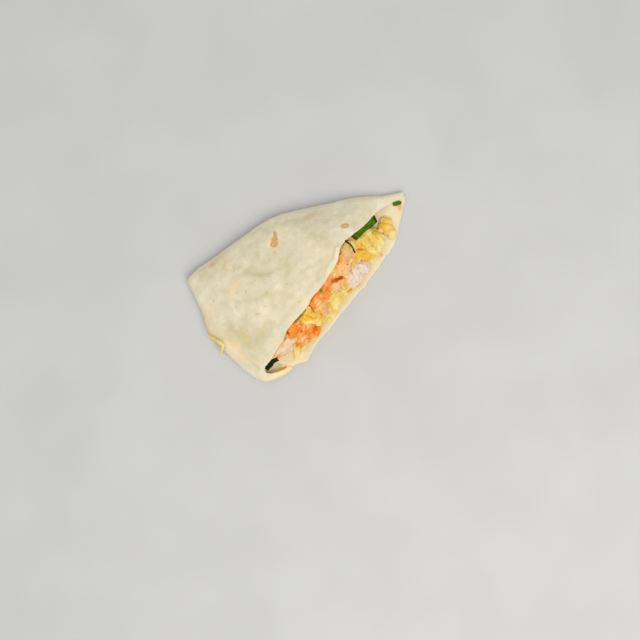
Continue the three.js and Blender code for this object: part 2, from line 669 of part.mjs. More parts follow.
// Grated cheese that hangs out of the filling: lines seen from above, which settle on the core.
const FUSED_SHREDS = [
  [[22.0, -28.6], [27.0, -27.4], [32.4, -26.2]],
  [[24.0, -32.0], [29.0, -31.4], [34.0, -30.6]],
  [[26.4, -22.6], [31.0, -24.4], [36.0, -26.2]],
  [[30.0, -34.2], [34.2, -33.4], [37.6, -31.4]],
  [[33.4, -28.0], [36.4, -28.4], [39.0, -27.6]],
  [[20.8, -25.0], [24.4, -26.6], [27.6, -29.6]],
  [[-2.0, -30.8], [3.2, -33.2], [7.4, -35.6]],
  [[-6.4, -31.2], [-1.0, -34.0], [3.4, -35.4]],
  [[-9.6, -32.6], [-4.6, -34.6], [-0.6, -35.0]],
  [[-20.8, -25.2], [-18.4, -28.2], [-14.0, -33.0]],
  [[-24.4, -26.0], [-20.4, -29.6], [-17.4, -33.8]],
  [[-21.6, -29.0], [-17.4, -31.2], [-13.0, -34.4]],
  [[-38.2, -29.4], [-41.6, -30.4], [-44.6, -31.6]],
  [[-33.6, -32.4], [-37.2, -32.4], [-40.2, -30.8]],
  [[-22.6, -31.6], [-21.0, -33.4], [-18.6, -35.0]],
];

// Heaps of melted cheese that the cut left in front of the core: middle and half sizes.
const HEAPS = [
  [[33.4, -28.0, 2.4], [7.6, 7.4, 6.6]],
  [[27.4, -30.2, 2.4], [6.4, 6.2, 7.4]],
  [[36.9, -30.6, 2.0], [3.6, 4.7, 3.8]],
];

// Curds of melted cheese that stand out of the core: place seen from above, and radius.
const CURDS = [
  [22.9, -26.4, 2.3], [25.6, -30.8, 3.0], [29.4, -32.8, 2.4], [36.2, -33.0, 2.4],
  [32.8, -33.6, 2.5], [29.6, -27.4, 2.8], [36.4, -29.4, 2.6], [34.4, -25.2, 2.8], [-9.4, -33.4, 2.6],
];

// A loose clump of grated cheese on the bare sheet near the tip, in overlapping slabs.
const CLUMP_SHREDS = [
  [[45.8, -26.2, 2.9], [47.9, -28.6, 3.4], [49.0, -32.0, 2.9]],
  [[43.2, -27.2, 3.6], [44.9, -30.4, 4.2], [46.8, -34.3, 3.5]],
  [[42.6, -31.2, 3.2], [44.2, -34.4, 3.7], [45.6, -37.8, 2.9]],
  [[41.9, -34.8, 3.0], [42.9, -36.6, 3.2], [43.8, -38.0, 2.8]],
];
const SLAB_WIDTH = 3.9;
const SLAB_THICKNESS = 1.6;

// A stray shred stuck to the outside of the fold at the blunt end: [station, angle] round the fold,
// from level with its middle up to its top, and beyond that in millimetres over the top sheet.
const STRAY_SHRED = [[6.85, 12], [6.55, 62], [6.3, 74], [6.1, 50], [5.9, 14], [5.78, -8]];
const STRAY_WIDTH = 2.2;
const STRAY_THICKNESS = 1.2;
const STRAY_LIFT = 1.3; // its middle over the sheet

const HERB_FLECK = [[57.6, -26.3], [59.6, -28.0], [61.6, -29.4]];

function strayShred() {
  const line = [];
  const normals = [];
  for (const [n, angle] of STRAY_SHRED) {
    const section = sectionAt(n);
    const turn = THREE.MathUtils.degToRad(angle);
    const { radius } = section;
    const out = radius + STRAY_LIFT;
    const level = outerTop(section, radius - radius * Math.cos(turn));
    const rise = angle > 0 ? level - radius - radius * Math.sin(turn) : 0;
    const place = inSpace(section, [radius - out * Math.cos(turn), radius + out * Math.sin(turn) + rise]);
    line.push([place.x, place.y, place.z]);
    const { x, y } = section.along;
    normals.push(point(-x * Math.cos(turn), -y * Math.cos(turn), Math.sin(turn)));
  }
  return strip(line, STRAY_WIDTH, STRAY_THICKNESS, new THREE.CatmullRomCurve3(normals));
}

// ---------------------------------------------------------------- assembly
const group = new THREE.Group();

function addPiece(name, solid, finish) {
  const mesh = new THREE.Mesh(geometryFromSolid(solid), finish);
  mesh.name = name;
  group.add(mesh);
}

// Everything in the filling is cut to this space.
const space = coveredSpace().add(frontSpace()).subtract(innerSheet(CLEARANCE));
const tortilla = largest(foldedBand().add(bottomPlate()).add(innerSheet(0)));
addPiece('tortilla', tortilla, tortillaFinish);

// Each piece is cut to the open space and to the pieces before it, the leaves first.
const shapes = [
  ...SPINACH.map((spec) => (grow) => leaf(spec, grow)),
  ...CHICKEN.map((spec) => (grow) => meatLump(spec, grow)),
];
const names = [
  ...SPINACH.map((_, i) => `spinach_leaf_${i + 1}`),
  ...CHICKEN.map((_, i) => `chicken_piece_${i + 1}`),
];
const finishes = [
  ...SPINACH.map(() => leafFinish),
  ...CHICKEN.map((spec) => (spec.roast ? roastFinish : palestFinish)),
];
let taken = null;
shapes.forEach((shape, i) => {
  const whole = shape(0).intersect(space);
  const body = largest(taken ? whole.subtract(taken) : whole);
  const piece = withoutPockets(body).asOriginal().simplify(FINENESS);
  const room = shape(CLEARANCE);
  taken = taken ? taken.add(room) : room;
  addPiece(names[i], piece, finishes[i]);
});

let cheese = HEAPS.reduce((all, spec) => all.add(heap(spec)), cheeseCore());
const ground = new THREE.Mesh(geometryFromSolid(cheese), cheeseFinish);
for (const line of FUSED_SHREDS) {
  const settled = line.map(([x, y]) => [x, y, heightOn(ground, x, y) + SHRED_LIFT]);
  cheese = cheese.add(strip(settled, SHRED_WIDTH, SHRED_THICKNESS));
}
for (const spec of CURDS) cheese = cheese.add(curd(spec, ground));
cheese = largest(cheese.intersect(space).subtract(taken));
cheese = withoutPockets(cheese).asOriginal().simplify(FINENESS);
addPiece('cheese_filling', cheese, cheeseFinish);

const clump = CLUMP_SHREDS.map((line) => strip(line, SLAB_WIDTH, SLAB_THICKNESS))
  .reduce((all, slab) => all.add(slab));
addPiece('cheese_clump', largest(clump.intersect(space)).simplify(FINENESS), cheeseFinish);
addPiece('cheese_shred', strayShred(), cheeseFinish);
addPiece('herb_fleck', strip(HERB_FLECK.map(([x, y]) => [x, y, FLOOR + 0.35]), 2.2, 0.6), leafFinish);

// The origin goes to the middle of the footprint, on the surface that the wedge lies on.
const box = new THREE.Box3().setFromObject(group);
const middle = box.getCenter(point(0, 0));
group.position.set(-middle.x, -middle.y, -box.min.z);
group.updateMatrixWorld(true);

export default group;
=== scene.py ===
"""A wedge of chicken quesadilla: a soft flour tortilla folded over melted cheese, chicken and spinach.

Shapes are worked out in millimetres in the model's frame and turned into metres when a mesh is made.
+X runs along the cut to the sharp tip, the cut faces -Y, and +Z is up.
"""
import itertools
import json
import math
import random

import bpy
import numpy as np
from mathutils import Matrix, Vector
from mathutils.bvhtree import BVHTree


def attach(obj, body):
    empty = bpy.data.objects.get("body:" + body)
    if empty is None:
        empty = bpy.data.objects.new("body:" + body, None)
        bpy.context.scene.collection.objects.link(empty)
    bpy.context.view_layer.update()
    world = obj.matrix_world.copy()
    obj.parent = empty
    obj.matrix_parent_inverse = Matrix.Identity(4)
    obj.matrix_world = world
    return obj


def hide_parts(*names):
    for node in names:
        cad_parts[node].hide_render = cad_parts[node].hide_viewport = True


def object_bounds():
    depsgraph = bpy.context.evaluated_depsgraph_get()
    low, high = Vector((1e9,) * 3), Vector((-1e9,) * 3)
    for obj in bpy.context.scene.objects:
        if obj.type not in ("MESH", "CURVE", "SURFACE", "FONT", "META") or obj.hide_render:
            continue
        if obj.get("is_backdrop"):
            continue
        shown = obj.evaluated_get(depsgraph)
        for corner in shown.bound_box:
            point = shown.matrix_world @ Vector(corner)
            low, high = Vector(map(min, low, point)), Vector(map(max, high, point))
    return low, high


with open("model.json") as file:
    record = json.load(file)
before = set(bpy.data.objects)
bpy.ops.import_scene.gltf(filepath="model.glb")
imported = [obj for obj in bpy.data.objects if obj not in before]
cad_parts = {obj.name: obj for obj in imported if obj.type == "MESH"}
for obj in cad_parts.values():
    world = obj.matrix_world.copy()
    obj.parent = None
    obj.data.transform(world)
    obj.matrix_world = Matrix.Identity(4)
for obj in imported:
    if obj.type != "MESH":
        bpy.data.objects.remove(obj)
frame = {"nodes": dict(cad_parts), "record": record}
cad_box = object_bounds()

MM = 0.001
RELIEF_REACH = 12  # rounds of smoothing that the relief of a surface is measured against
ORIGIN_SHIFT = np.array([0.263, 0.250, 0.0])  # from the stations' own origin to the model's, mm

# ------------------------------------------------------------------ the tortilla's dimensions, mm
SHEET = 1.8
BOTTOM_LAP = 1.4  # how far the fold reaches under the bottom sheet
CROWN_POWER = 1.7
LUMP_HEIGHT = 0.55

# Round the closed sides, from the lip beside the blunt corner to the sharp tip:
# fold x, fold y, fold radius, flap edge x, flap edge y, its top z.
STATIONS = np.array([
    [-47.6, -36.3, 1.95, -48.2, -33.4, 3.9],
    [-54, -35.4, 2.2, -52.8, -32.3, 5],
    [-60.8, -32.3, 2.6, -58.4, -29.2, 6.2],
    [-66.3, -27.8, 2.9, -61.2, -25.8, 7.8],
    [-67.8, -21, 3.2, -60, -23.3, 9.5],
    [-67.5, -10.5, 3.6, -53.5, -23.2, 13.5],
    [-65.6, 2, 3.8, -45.5, -22.7, 18],
    [-62.5, 14.4, 3.8, -37.5, -21.8, 21.5],
    [-55.4, 25, 3.8, -30, -21.2, 24],
    [-50.4, 34.3, 3.8, -23.5, -21.7, 25.3],
    [-46, 41.3, 3.8, -18, -22, 26],
    [-39, 41, 3.8, -13, -21.5, 26.4],
    [-25.7, 36.6, 4, -6, -22, 26.6],
    [-9.7, 31.6, 4.2, 2, -21.7, 26.6],
    [9.7, 24.6, 4.2, 12, -20.6, 26],
    [24, 14, 4, 17.5, -18, 25],
    [36.8, 2.8, 3.6, 26, -18, 22],
    [46, -4.8, 3.2, 34, -20.2, 17.5],
    [53.4, -12.9, 2.7, 41, -21.2, 12],
    [58.5, -19, 2.3, 47, -21.6, 7.5],
    [63.3, -23.3, 2.1, 55, -24, 4.9],
    [67.4, -26.9, 2.05, 64.6, -28.8, 4.2],
])
LAST = len(STATIONS) - 1

CUT_EDGE = [
    (66.4, -29), (64, -30.3), (57, -33.6), (50.5, -36.4), (43.7, -39.4), (40.2, -40.7), (36.4, -40.9),
    (33.4, -41.4), (32.8, -40.2), (31, -40.8), (24, -41.2), (13.2, -40.8), (10.4, -42.2), (8.8, -40.7),
    (1.3, -40.2), (-9, -39.8), (-19.5, -39.6), (-30, -38.7), (-38.5, -39), (-43.4, -38.2), (-47.4, -36.5),
]
INNER_EDGE = [
    (-42.6, -40.2), (-45.9, -37.6), (-48.2, -35.3), (-50.2, -33), (-52.1, -30.6), (-53.5, -27.6),
    (-54.4, -24.6),
]
INNER_ROOT = [(-30.0, -38.4), (-30.0, -24.0)]
INNER_RISE = 2.9
INNER_THICKNESS = 1.6
INNER_SINK = 0.3  # how deep its root lies in the bottom sheet
LIP_CURL = 0.75  # rise of the curled strip along the middle of the flap's edge
LIP_BREADTH = 2.7
LIP_GROWS, LIP_ENDS = (12.7, 14.6), (15.1, 15.35)  # station numbers
LIP_GROWS_X, LIP_ENDS_X = (-3.0, 6.0), (17.4, 18.4)

# The foot of the filling on the bottom sheet.
FILLING_FOOT = [
    (-62, -23.6), (-56, -24.2), (-49, -25.6), (-42, -30), (-36, -34), (-27.6, -35.6), (-15, -35.2),
    (-2, -35.6), (8, -36), (14, -36.2), (22, -35.6), (30, -35.4), (36.5, -35.2), (38.8, -33), (40, -29.6),
    (41.2, -26.4), (43.4, -24.4), (52, -24.2),
]

# The pieces of chicken, from the stations' own origin: centre, and turns in degrees about Z, Y and X.
CHICKEN = {
    "chicken_piece_1": ((15.8, -23, 19.6), (28, -14, 40)),
    "chicken_piece_2": ((13.8, -32.8, 8), (-8, 0, 54)),
    "chicken_piece_3": ((0.8, -28.2, 14.8), (0, 0, 50)),
    "chicken_piece_4": ((-6, -23.8, 18.9), (5, -4, 54)),
    "chicken_piece_5": ((-11.8, -29.2, 13), (20, 0, 52)),
    "chicken_piece_6": ((-32, -24, 17.4), (8, -12, 50)),
    "chicken_piece_7": ((-30, -31, 9.4), (8, 0, 52)),
    "chicken_piece_8": ((-41.2, -25.6, 12.7), (-2, -16, 46)),
}

# ------------------------------------------------------------------ the camera's place, mm
PIXEL = 0.57  # on the floor, for one pixel of the photograph
LENS, SENSOR, FRAME_PIXELS = 50.0, 36.0, 640
CAMERA = (-19.32, -31.82, PIXEL * FRAME_PIXELS * LENS / SENSOR)
PHOTO_TURN = math.radians(-53.5)

# ------------------------------------------------------------------ helpers: numbers
rng = random.Random(11)
# Fixed random tables for the noise.
SCRAMBLED = np.random.RandomState(5).permutation(256)
LATTICE = np.random.RandomState(6).uniform(-1, 1, 256)
CLEFT_REACH = 0.15  # of the cleft between two flakes, as a share of a flake


def smoothstep(x, low, high):
    t = np.clip((x - low) / (high - low), 0, 1)
    return t * t * (3 - 2 * t)


def lerp(a, b, t):
    return a + (b - a) * t


def falloff(reach):
    """Strength of an oval mark, from 1 in its middle."""
    return np.exp(-1.1 * reach ** 2)


def cell_numbers(cell, seed=0):
    """A scrambled number from 0 to 255 for each cell of a lattice."""
    number = SCRAMBLED[(cell[:, 0] + seed) & 255]
    number = SCRAMBLED[(number + cell[:, 1]) & 255]
    return SCRAMBLED[(number + cell[:, 2]) & 255]


def cell_values(number, offsets):
    """Values between -1 and 1 that go with a cell's number, one for each offset."""
    return np.stack([LATTICE[(number + k) & 255] for k in offsets], 1)


def value_noise(points):
    """Smooth noise between -1 and 1 at an array of points, one feature to a unit."""
    base = np.floor(points).astype(int)
    part = points - base
    part = part * part * part * (part * (part * 6 - 15) + 10)
    total = np.zeros(len(points))
    for corner in itertools.product((0, 1), repeat=3):
        x, y, z = np.where(corner, part, 1 - part).T
        total += x * y * z * LATTICE[cell_numbers(base + corner)]
    return total


def fractal(points, size, octaves, seed):
    """Noise with features of the given size in mm, finer ones over it."""
    total = np.zeros(len(points))
    for k in range(octaves):
        total += value_noise(points * (2 ** k / size) + seed + 17.3 * k) * 0.5 ** k
    return total


def cells(points, seed):
    """Scattered seeds, one to a unit cell: how far the nearest two are, and the first's way and number."""
    base = np.floor(points).astype(int)
    first, second = np.full(len(points), 9.0), np.full(len(points), 9.0)
    away, own = np.zeros_like(points), np.zeros(len(points), int)
    for step in itertools.product((-1, 0, 1), repeat=3):
        cell = base + step
        number = cell_numbers(cell, seed)
        jitter = 0.5 * cell_values(number, (0, 71, 149)) + 0.5
        gap = points - cell - jitter
        size = np.linalg.norm(gap, axis=1)
        nearer = size < first
        second = np.where(nearer, first, np.minimum(second, size))
        first = np.where(nearer, size, first)
        away[nearer] = gap[nearer]
        own = np.where(nearer, number, own)
    return first, second, away, own


def flakes(points, size, tilt, cleft, seed):
    """Heights in mm of torn flakes: tilted faces with clefts between them."""
    first, second, away, own = cells(points / size, seed)
    slope = cell_values(own, (13, 57, 101))
    return tilt * size * (away * slope).sum(1) - cleft * np.exp(-((second - first) / CLEFT_REACH) ** 2)


def gap_to_line(points, line):
    """Distance from each point to a line of points in space, or in plan where the line has only x and y."""
    line = np.asarray(line, float)
    points = points[:, :line.shape[1]]
    best = np.full(len(points), 1e9)
    for a, b in zip(line, line[1:]):
        run = b - a
        t = np.clip(((points - a) @ run) / (run @ run), 0, 1)
        best = np.minimum(best, np.linalg.norm(points - a - t[:, None] * run, axis=1))
    return best


def photo_direction(right, up, height):
    """A direction in the model's frame from one in the photograph's."""
    c, s = math.cos(PHOTO_TURN), math.sin(PHOTO_TURN)
    return Vector((right * c - up * s, right * s + up * c, height)).normalized()


def ripple(x, y, z, size, seed):
    """Smooth waves between -1 and 1, the same as on the solid sheet."""
    a = np.sin(x / size + 1.7 * seed) * np.cos(y / size - 2.3 * seed)
    b = np.sin((y + z) / (0.61 * size) + seed) * np.cos((x - z) / (0.83 * size) + 3.1 * seed)
    return 0.6 * a + 0.4 * b


def centripetal(points, t):
    """A centripetal Catmull-Rom curve through points, at parameters t from 0 to 1."""
    points = np.asarray(points, float)
    count = len(points)
    padded = np.vstack([2 * points[0] - points[1], points, 2 * points[-1] - points[-2]])
    at = np.clip(np.asarray(t, float), 0, 1) * (count - 1)
    i = np.minimum(at.astype(int), count - 2)
    w = (at - i)[:, None]
    p0, p1, p2, p3 = (padded[i + k] for k in range(4))
    spans = (np.linalg.norm(b - a, axis=1) for a, b in ((p0, p1), (p1, p2), (p2, p3)))
    d0, d1, d2 = (np.sqrt(np.maximum(span, 1e-6))[:, None] for span in spans)
    t1 = ((p1 - p0) / d0 - (p2 - p0) / (d0 + d1) + (p2 - p1) / d1) * d1
    t2 = ((p2 - p1) / d1 - (p3 - p1) / (d1 + d2) + (p3 - p2) / d2) * d1
    c2 = -3 * p1 + 3 * p2 - 2 * t1 - t2
    c3 = 2 * p1 - 2 * p2 + t1 + t2
    return p1 + t1 * w + c2 * w ** 2 + c3 * w ** 3


# ------------------------------------------------------------------ helpers: meshes
def in_scene(name, data):
    obj = bpy.data.objects.new(name, data)
    bpy.context.scene.collection.objects.link(obj)
    return obj


def make_object(name, verts, faces):
    """A mesh object from millimetre coordinates."""
    mesh = bpy.data.meshes.new(name)
    mesh.from_pydata([tuple(v) for v in np.asarray(verts) * MM], [], faces)
    mesh.validate()
    return in_scene(name, mesh)


def coordinates(obj):
    """Every vertex in mm, one to a row."""
    flat = np.empty(len(obj.data.vertices) * 3)
    obj.data.vertices.foreach_get("co", flat)
    return flat.reshape(-1, 3) / MM


def set_coordinates(obj, points):
    obj.data.vertices.foreach_set("co", (points * MM).ravel())
    obj.data.update()


def normals(obj):
    flat = np.empty(len(obj.data.vertices) * 3)
    obj.data.vertices.foreach_get("normal", flat)
    return flat.reshape(-1, 3)


def swell(obj, height):
    """Moves every vertex out along its normal, by one height in mm or by its own."""
    heights = np.broadcast_to(height, len(obj.data.vertices))
    set_coordinates(obj, coordinates(obj) + normals(obj) * heights[:, None])


class Bundle:
    """Many bodies gathered in one mesh, in mm."""

    def __init__(self, objects=()):
        self.verts, self.faces = [], []
        for obj in objects:
            self.add(coordinates(obj), [poly.vertices for poly in obj.data.polygons])

    def add(self, verts, faces):
        start = len(self.verts)
        self.verts.extend(verts)
        self.faces.extend([tuple(start + i for i in face) for face in faces])

    def build(self, name):
        return make_object(name, self.verts, self.faces)


def joined(name, objects):
    """One object with the meshes of several, which are removed."""
    bundle = Bundle(objects)
    for obj in objects:
        bpy.data.objects.remove(obj)
    return bundle.build(name)


def ring_faces(rows, columns):
    """Quads between rows of points that each close on themselves."""
    faces = []
    for i, j in itertools.product(range(rows - 1), range(columns)):
        k = (j + 1) % columns
        faces.append((i * columns + j, i * columns + k, (i + 1) * columns + k, (i + 1) * columns + j))
    return faces


def both_faces(upper, lower):
    """Rows of two grids joined to rings: across the upper one and back across the lower one."""
    return np.concatenate([upper, lower[:, ::-1]], 1)


def grid_sheet(name, upper, lower):
    """A thin closed body between two grids of points."""
    rings = both_faces(upper, lower)
    rows, columns = rings.shape[:2]
    faces = ring_faces(rows, columns)
    for start, step in ((0, 1), ((rows - 1) * columns, -1)):
        for j in range(columns // 2 - 1):
            quad = (start + j, start + columns - 1 - j, start + columns - 2 - j, start + j + 1)
            faces.append(quad[::step])
    return make_object(name, rings.reshape(-1, 3), faces)


def apply_modifier(obj, kind, **settings):
    """Adds a modifier and keeps its result as the object's mesh."""
    modifier = obj.modifiers.new(kind, kind)
    for key, value in settings.items():
        setattr(modifier, key, value)
    done = bpy.data.meshes.new_from_object(obj.evaluated_get(bpy.context.evaluated_depsgraph_get()))
    obj.modifiers.clear()
    old = obj.data
    obj.data = done
    bpy.data.meshes.remove(old)


def smoothed(obj, iterations):
    apply_modifier(obj, "SMOOTH", factor=0.5, iterations=iterations)


def voxel_remesh(obj, voxel, smoothing):
    apply_modifier(obj, "REMESH", mode="VOXEL", voxel_size=voxel * MM, use_smooth_shade=True)
    smoothed(obj, smoothing)


def thinned(obj, hidden, ratio):
    """Fewer faces where the surface is hidden."""
    group = obj.vertex_groups.new(name="hidden")
    group.add([int(i) for i in np.nonzero(hidden)[0]], 1.0, "REPLACE")
    apply_modifier(obj, "DECIMATE", ratio=ratio, vertex_group="hidden")
    obj.vertex_groups.clear()


def copy_of_node(node, name):
    source = frame["nodes"][node]
    obj = make_object(name, [], [])
    obj.data = source.data.copy()
    obj.data.materials.clear()
    obj.data.transform(source.matrix_world)
    return obj


def relief(obj):
    """How far each vertex stands out of its smoothed surroundings, in mm."""
    soft = make_object("soft_copy", [], [])
    soft.data = obj.data.copy()
    smoothed(soft, RELIEF_REACH)
    out = ((coordinates(obj) - coordinates(soft)) * normals(soft)).sum(1)
    bpy.data.objects.remove(soft)
    return out


def set_attributes(obj, **attributes):
    """Stores a number or a vector at every vertex under each name."""
    count = len(obj.data.vertices)
    for name, values in attributes.items():
        values = np.asarray(values, float)
        is_vector = values.shape[-1:] == (3,)
        kind, field = ("FLOAT_VECTOR", "vector") if is_vector else ("FLOAT", "value")
        everywhere = np.broadcast_to(values, (count, 3) if is_vector else (count,))
        obj.data.attributes.new(name, kind, "POINT").data.foreach_set(field, everywhere.ravel())


def finish_piece(obj, material, slot, *nodes):
    """Gives a piece its material; the slot is not used. It replaces the nodes that are named."""
    obj.data.polygons.foreach_set("use_smooth", [True] * len(obj.data.polygons))
    obj.data.materials.clear()
    obj.data.materials.append(material)
    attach(obj, "root")
    if nodes:
        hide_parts(*nodes)


# ------------------------------------------------------------------ helpers: materials
def srgb(r, g, b):
    """A linear colour from 8-bit sRGB values."""
    def channel(c):
        c /= 255
        return c / 12.92 if c <= 0.04045 else ((c + 0.055) / 1.055) ** 2.4
    return (channel(r), channel(g), channel(b), 1.0)


class Shader:
    """A node material built line by line. Sizes of textures are given in millimetres."""

    def __init__(self, name):
        self.material = bpy.data.materials.new(name)
        self.material.use_nodes = True
        self.tree = self.material.node_tree
        self.surface = self.tree.nodes["Principled BSDF"]

    def node(self, kind, inputs=None, **settings):
        node = self.tree.nodes.new(kind)
        for key, value in settings.items():
            setattr(node, key, value)
        for key, value in (inputs or {}).items():
            self.feed(node.inputs[key], value)
        return node

    def feed(self, socket, value):
        if isinstance(value, bpy.types.NodeSocket):
            self.tree.links.new(value, socket)
        else:
            socket.default_value = value

    def place(self):
        return self.node("ShaderNodeTexCoord").outputs["Object"]

    def attribute(self, name, output="Fac"):
        return self.node("ShaderNodeAttribute", attribute_name=name).outputs[output]

    def stretched(self, vector, scale):
        return self.node("ShaderNodeMapping", {"Vector": vector, "Scale": scale}).outputs["Vector"]

    def noise(self, size, detail, roughness=0.55, vector=None, distortion=0.0):
        inputs = {"Vector": vector or self.place(), "Scale": 1 / (size * MM), "Detail": detail,
                  "Roughness": roughness, "Distortion": distortion}
        return self.node("ShaderNodeTexNoise", inputs).outputs["Fac"]

    def cells(self, size):
        inputs = {"Vector": self.place(), "Scale": 1 / (size * MM)}
        return self.node("ShaderNodeTexVoronoi", inputs).outputs["Distance"]

    def math(self, operation, a, b, clamp=False):
        node = self.node("ShaderNodeMath", operation=operation, use_clamp=clamp)
        self.feed(node.inputs[0], a)
        self.feed(node.inputs[1], b)
        return node.outputs[0]

    def scaled(self, value, factor):
        return self.math("MULTIPLY", value, factor)

    def added(self, value, other, factor=1.0):
        return self.math("ADD", value, other if factor == 1.0 else self.scaled(other, factor))

    def uneven(self, name, noise, amount):
        """An attribute that wanders with a noise round 0.5."""
        return self.added(self.attribute(name), self.math("SUBTRACT", noise, 0.5), amount)

    def band(self, value, low, high, to_low=0.0, to_high=1.0):
        inputs = {"Value": value, "From Min": low, "From Max": high, "To Min": to_low, "To Max": to_high}
        return self.node("ShaderNodeMapRange", inputs, interpolation_type="SMOOTHSTEP").outputs[0]

    def mix(self, factor, a, b, blend="MIX"):
        node = self.node("ShaderNodeMix", data_type="RGBA", blend_type=blend)
        self.feed(node.inputs[0], factor)
        self.feed(node.inputs[6], a)
        self.feed(node.inputs[7], b)
        return node.outputs[2]

    def layer(self, color, tone, value, low, high, strength=1.0, blend="MIX"):
        """An 8-bit tone over a colour, more of it as value goes from low to high, upwards or downwards."""
        ends = (low, high, 0.0, strength) if low < high else (high, low, strength, 0.0)
        return self.mix(self.band(value, *ends), color, srgb(*tone), blend)

    def mark(self, color, tone, name, strength):
        """An 8-bit tone over a colour where an attribute says so."""
        return self.mix(self.scaled(self.attribute(name), strength), color, srgb(*tone))

    def bump(self, height, distance):
        inputs = {"Height": height, "Distance": distance * MM, "Strength": 1.0}
        return self.node("ShaderNodeBump", inputs).outputs["Normal"]

    def set(self, **values):
        for key, value in values.items():
            self.feed(self.surface.inputs[key.replace("_", " ")], value)


def tortilla_material():
    """Soft flour dough: cream with faint mottling, toasted spots, see-through and greasy patches, and
    painted light and shade.
    """
    s = Shader("soft_tortilla")
    broad, fine, speck = s.noise(11.0, 3.0, 0.5), s.noise(2.4, 5.0, 0.6), s.noise(1.0, 3.0, 0.6)
    hollow = s.attribute("hollow")
    color = s.layer(srgb(222, 211, 180), (229, 216, 182), broad, 0.32, 0.68)
    # Painted shade in the sheet's creases and hollows, and painted light on its raised bits.
    color = s.layer(color, (209, 199, 162), hollow, 0.5, 1.0, 0.7)
    color = s.layer(color, (238, 230, 204), hollow, 0.5, 0.0, 0.6)
    color = s.layer(color, (210, 198, 158), fine, 0.52, 0.75, 0.35)
    color = s.layer(color, (242, 234, 212), speck, 0.6, 0.8, 0.35)
    # Painted light: slopes are lightened the more steeply they turn away from straight up.
    color = s.mark(color, (246, 236, 212), "slope", 0.6)
    color = s.mark(color, (236, 220, 182), "inside", 0.75)
    # Painted greyish shade beside the filling's foot, against the yellow light that the cheese throws onto
    # the sheet.
    color = s.mark(color, (218, 200, 170), "melt", 0.5)
    color = s.mark(color, (240, 228, 192), "lip", 0.8)
    patchy = s.band(fine, 0.25, 0.7, 0.55, 1.1)
    # Of these patches, the peach one is painted warm light round the fold, and the one in the pocket is
    # painted light in its shade; olive, grease and sauce are the dough's own tints and stains.
    for name, strength, tone in (
        ("olive", 0.5, (196, 186, 132)),
        ("grease", 0.5, (214, 190, 126)),
        ("peach", 0.6, (244, 212, 166)),
        ("pocket_light", 1.0, (246, 220, 150)),
        ("sauce", 0.9, (228, 164, 62)),
    ):
        mask = s.math("MULTIPLY", s.attribute(name), s.scaled(patchy, strength), clamp=True)
        color = s.mix(mask, color, srgb(*tone))
    toasted = s.layer(srgb(212, 150, 80), (226, 178, 112), speck, 0.35, 0.65)
    color = s.mix(s.band(s.uneven("toast", fine, 0.4), 0.15, 0.8, 0, 0.92), color, toasted)
    height = s.added(s.scaled(fine, 0.8), s.noise(0.8, 4.0, 0.6), 0.3)
    height = s.added(height, s.band(s.cells(1.8), 0.0, 0.35), 0.15)
    rough = s.added(s.band(fine, 0.3, 0.7, 0.7, 0.8), s.attribute("inside"), -0.14)
    s.set(Base_Color=color, Roughness=rough, Subsurface_Weight=0.12, Subsurface_Radius=(1.0, 0.6, 0.3),
          Subsurface_Scale=1.2 * MM, Specular_IOR_Level=0.2, Normal=s.bump(height, 0.4))
    return s.material


def cheese_material():
    """Melted and grated cheese: moist, a little see-through, with a painted shade of deeper yellow in its
    hollows and painted light on its raised parts.
    """
    s = Shader("soft_cheese")
    patch, fine = s.noise(3.6, 3.0), s.noise(0.9, 4.0, 0.6)
    tone, hollow = s.uneven("tone", patch, 0.6), s.attribute("hollow")
    color = s.layer(srgb(232, 180, 48), (231, 192, 88), tone, 0.0, 0.5)
    color = s.layer(color, (238, 217, 138), tone, 0.5, 1.0)
    # Painted shade in the hollows and painted light on the raised parts.
    color = s.layer(color, (230, 172, 58), hollow, 0.5, 1.0, 0.4)
    color = s.layer(color, (240, 220, 150), hollow, 0.5, 0.0, 0.35)
    color = s.mark(color, (216, 206, 140), "herb", 0.85)
    color = s.mark(color, (200, 92, 12), "stain", s.band(fine, 0.2, 0.5))
    s.set(Base_Color=color, Roughness=s.band(fine, 0.3, 0.7, 0.42, 0.58), Subsurface_Weight=0.3,
          Subsurface_Radius=(1.0, 0.6, 0.2), Subsurface_Scale=1.6 * MM, Specular_IOR_Level=0.3,
          Normal=s.bump(s.added(fine, patch, 0.6), 0.12))
    return s.material


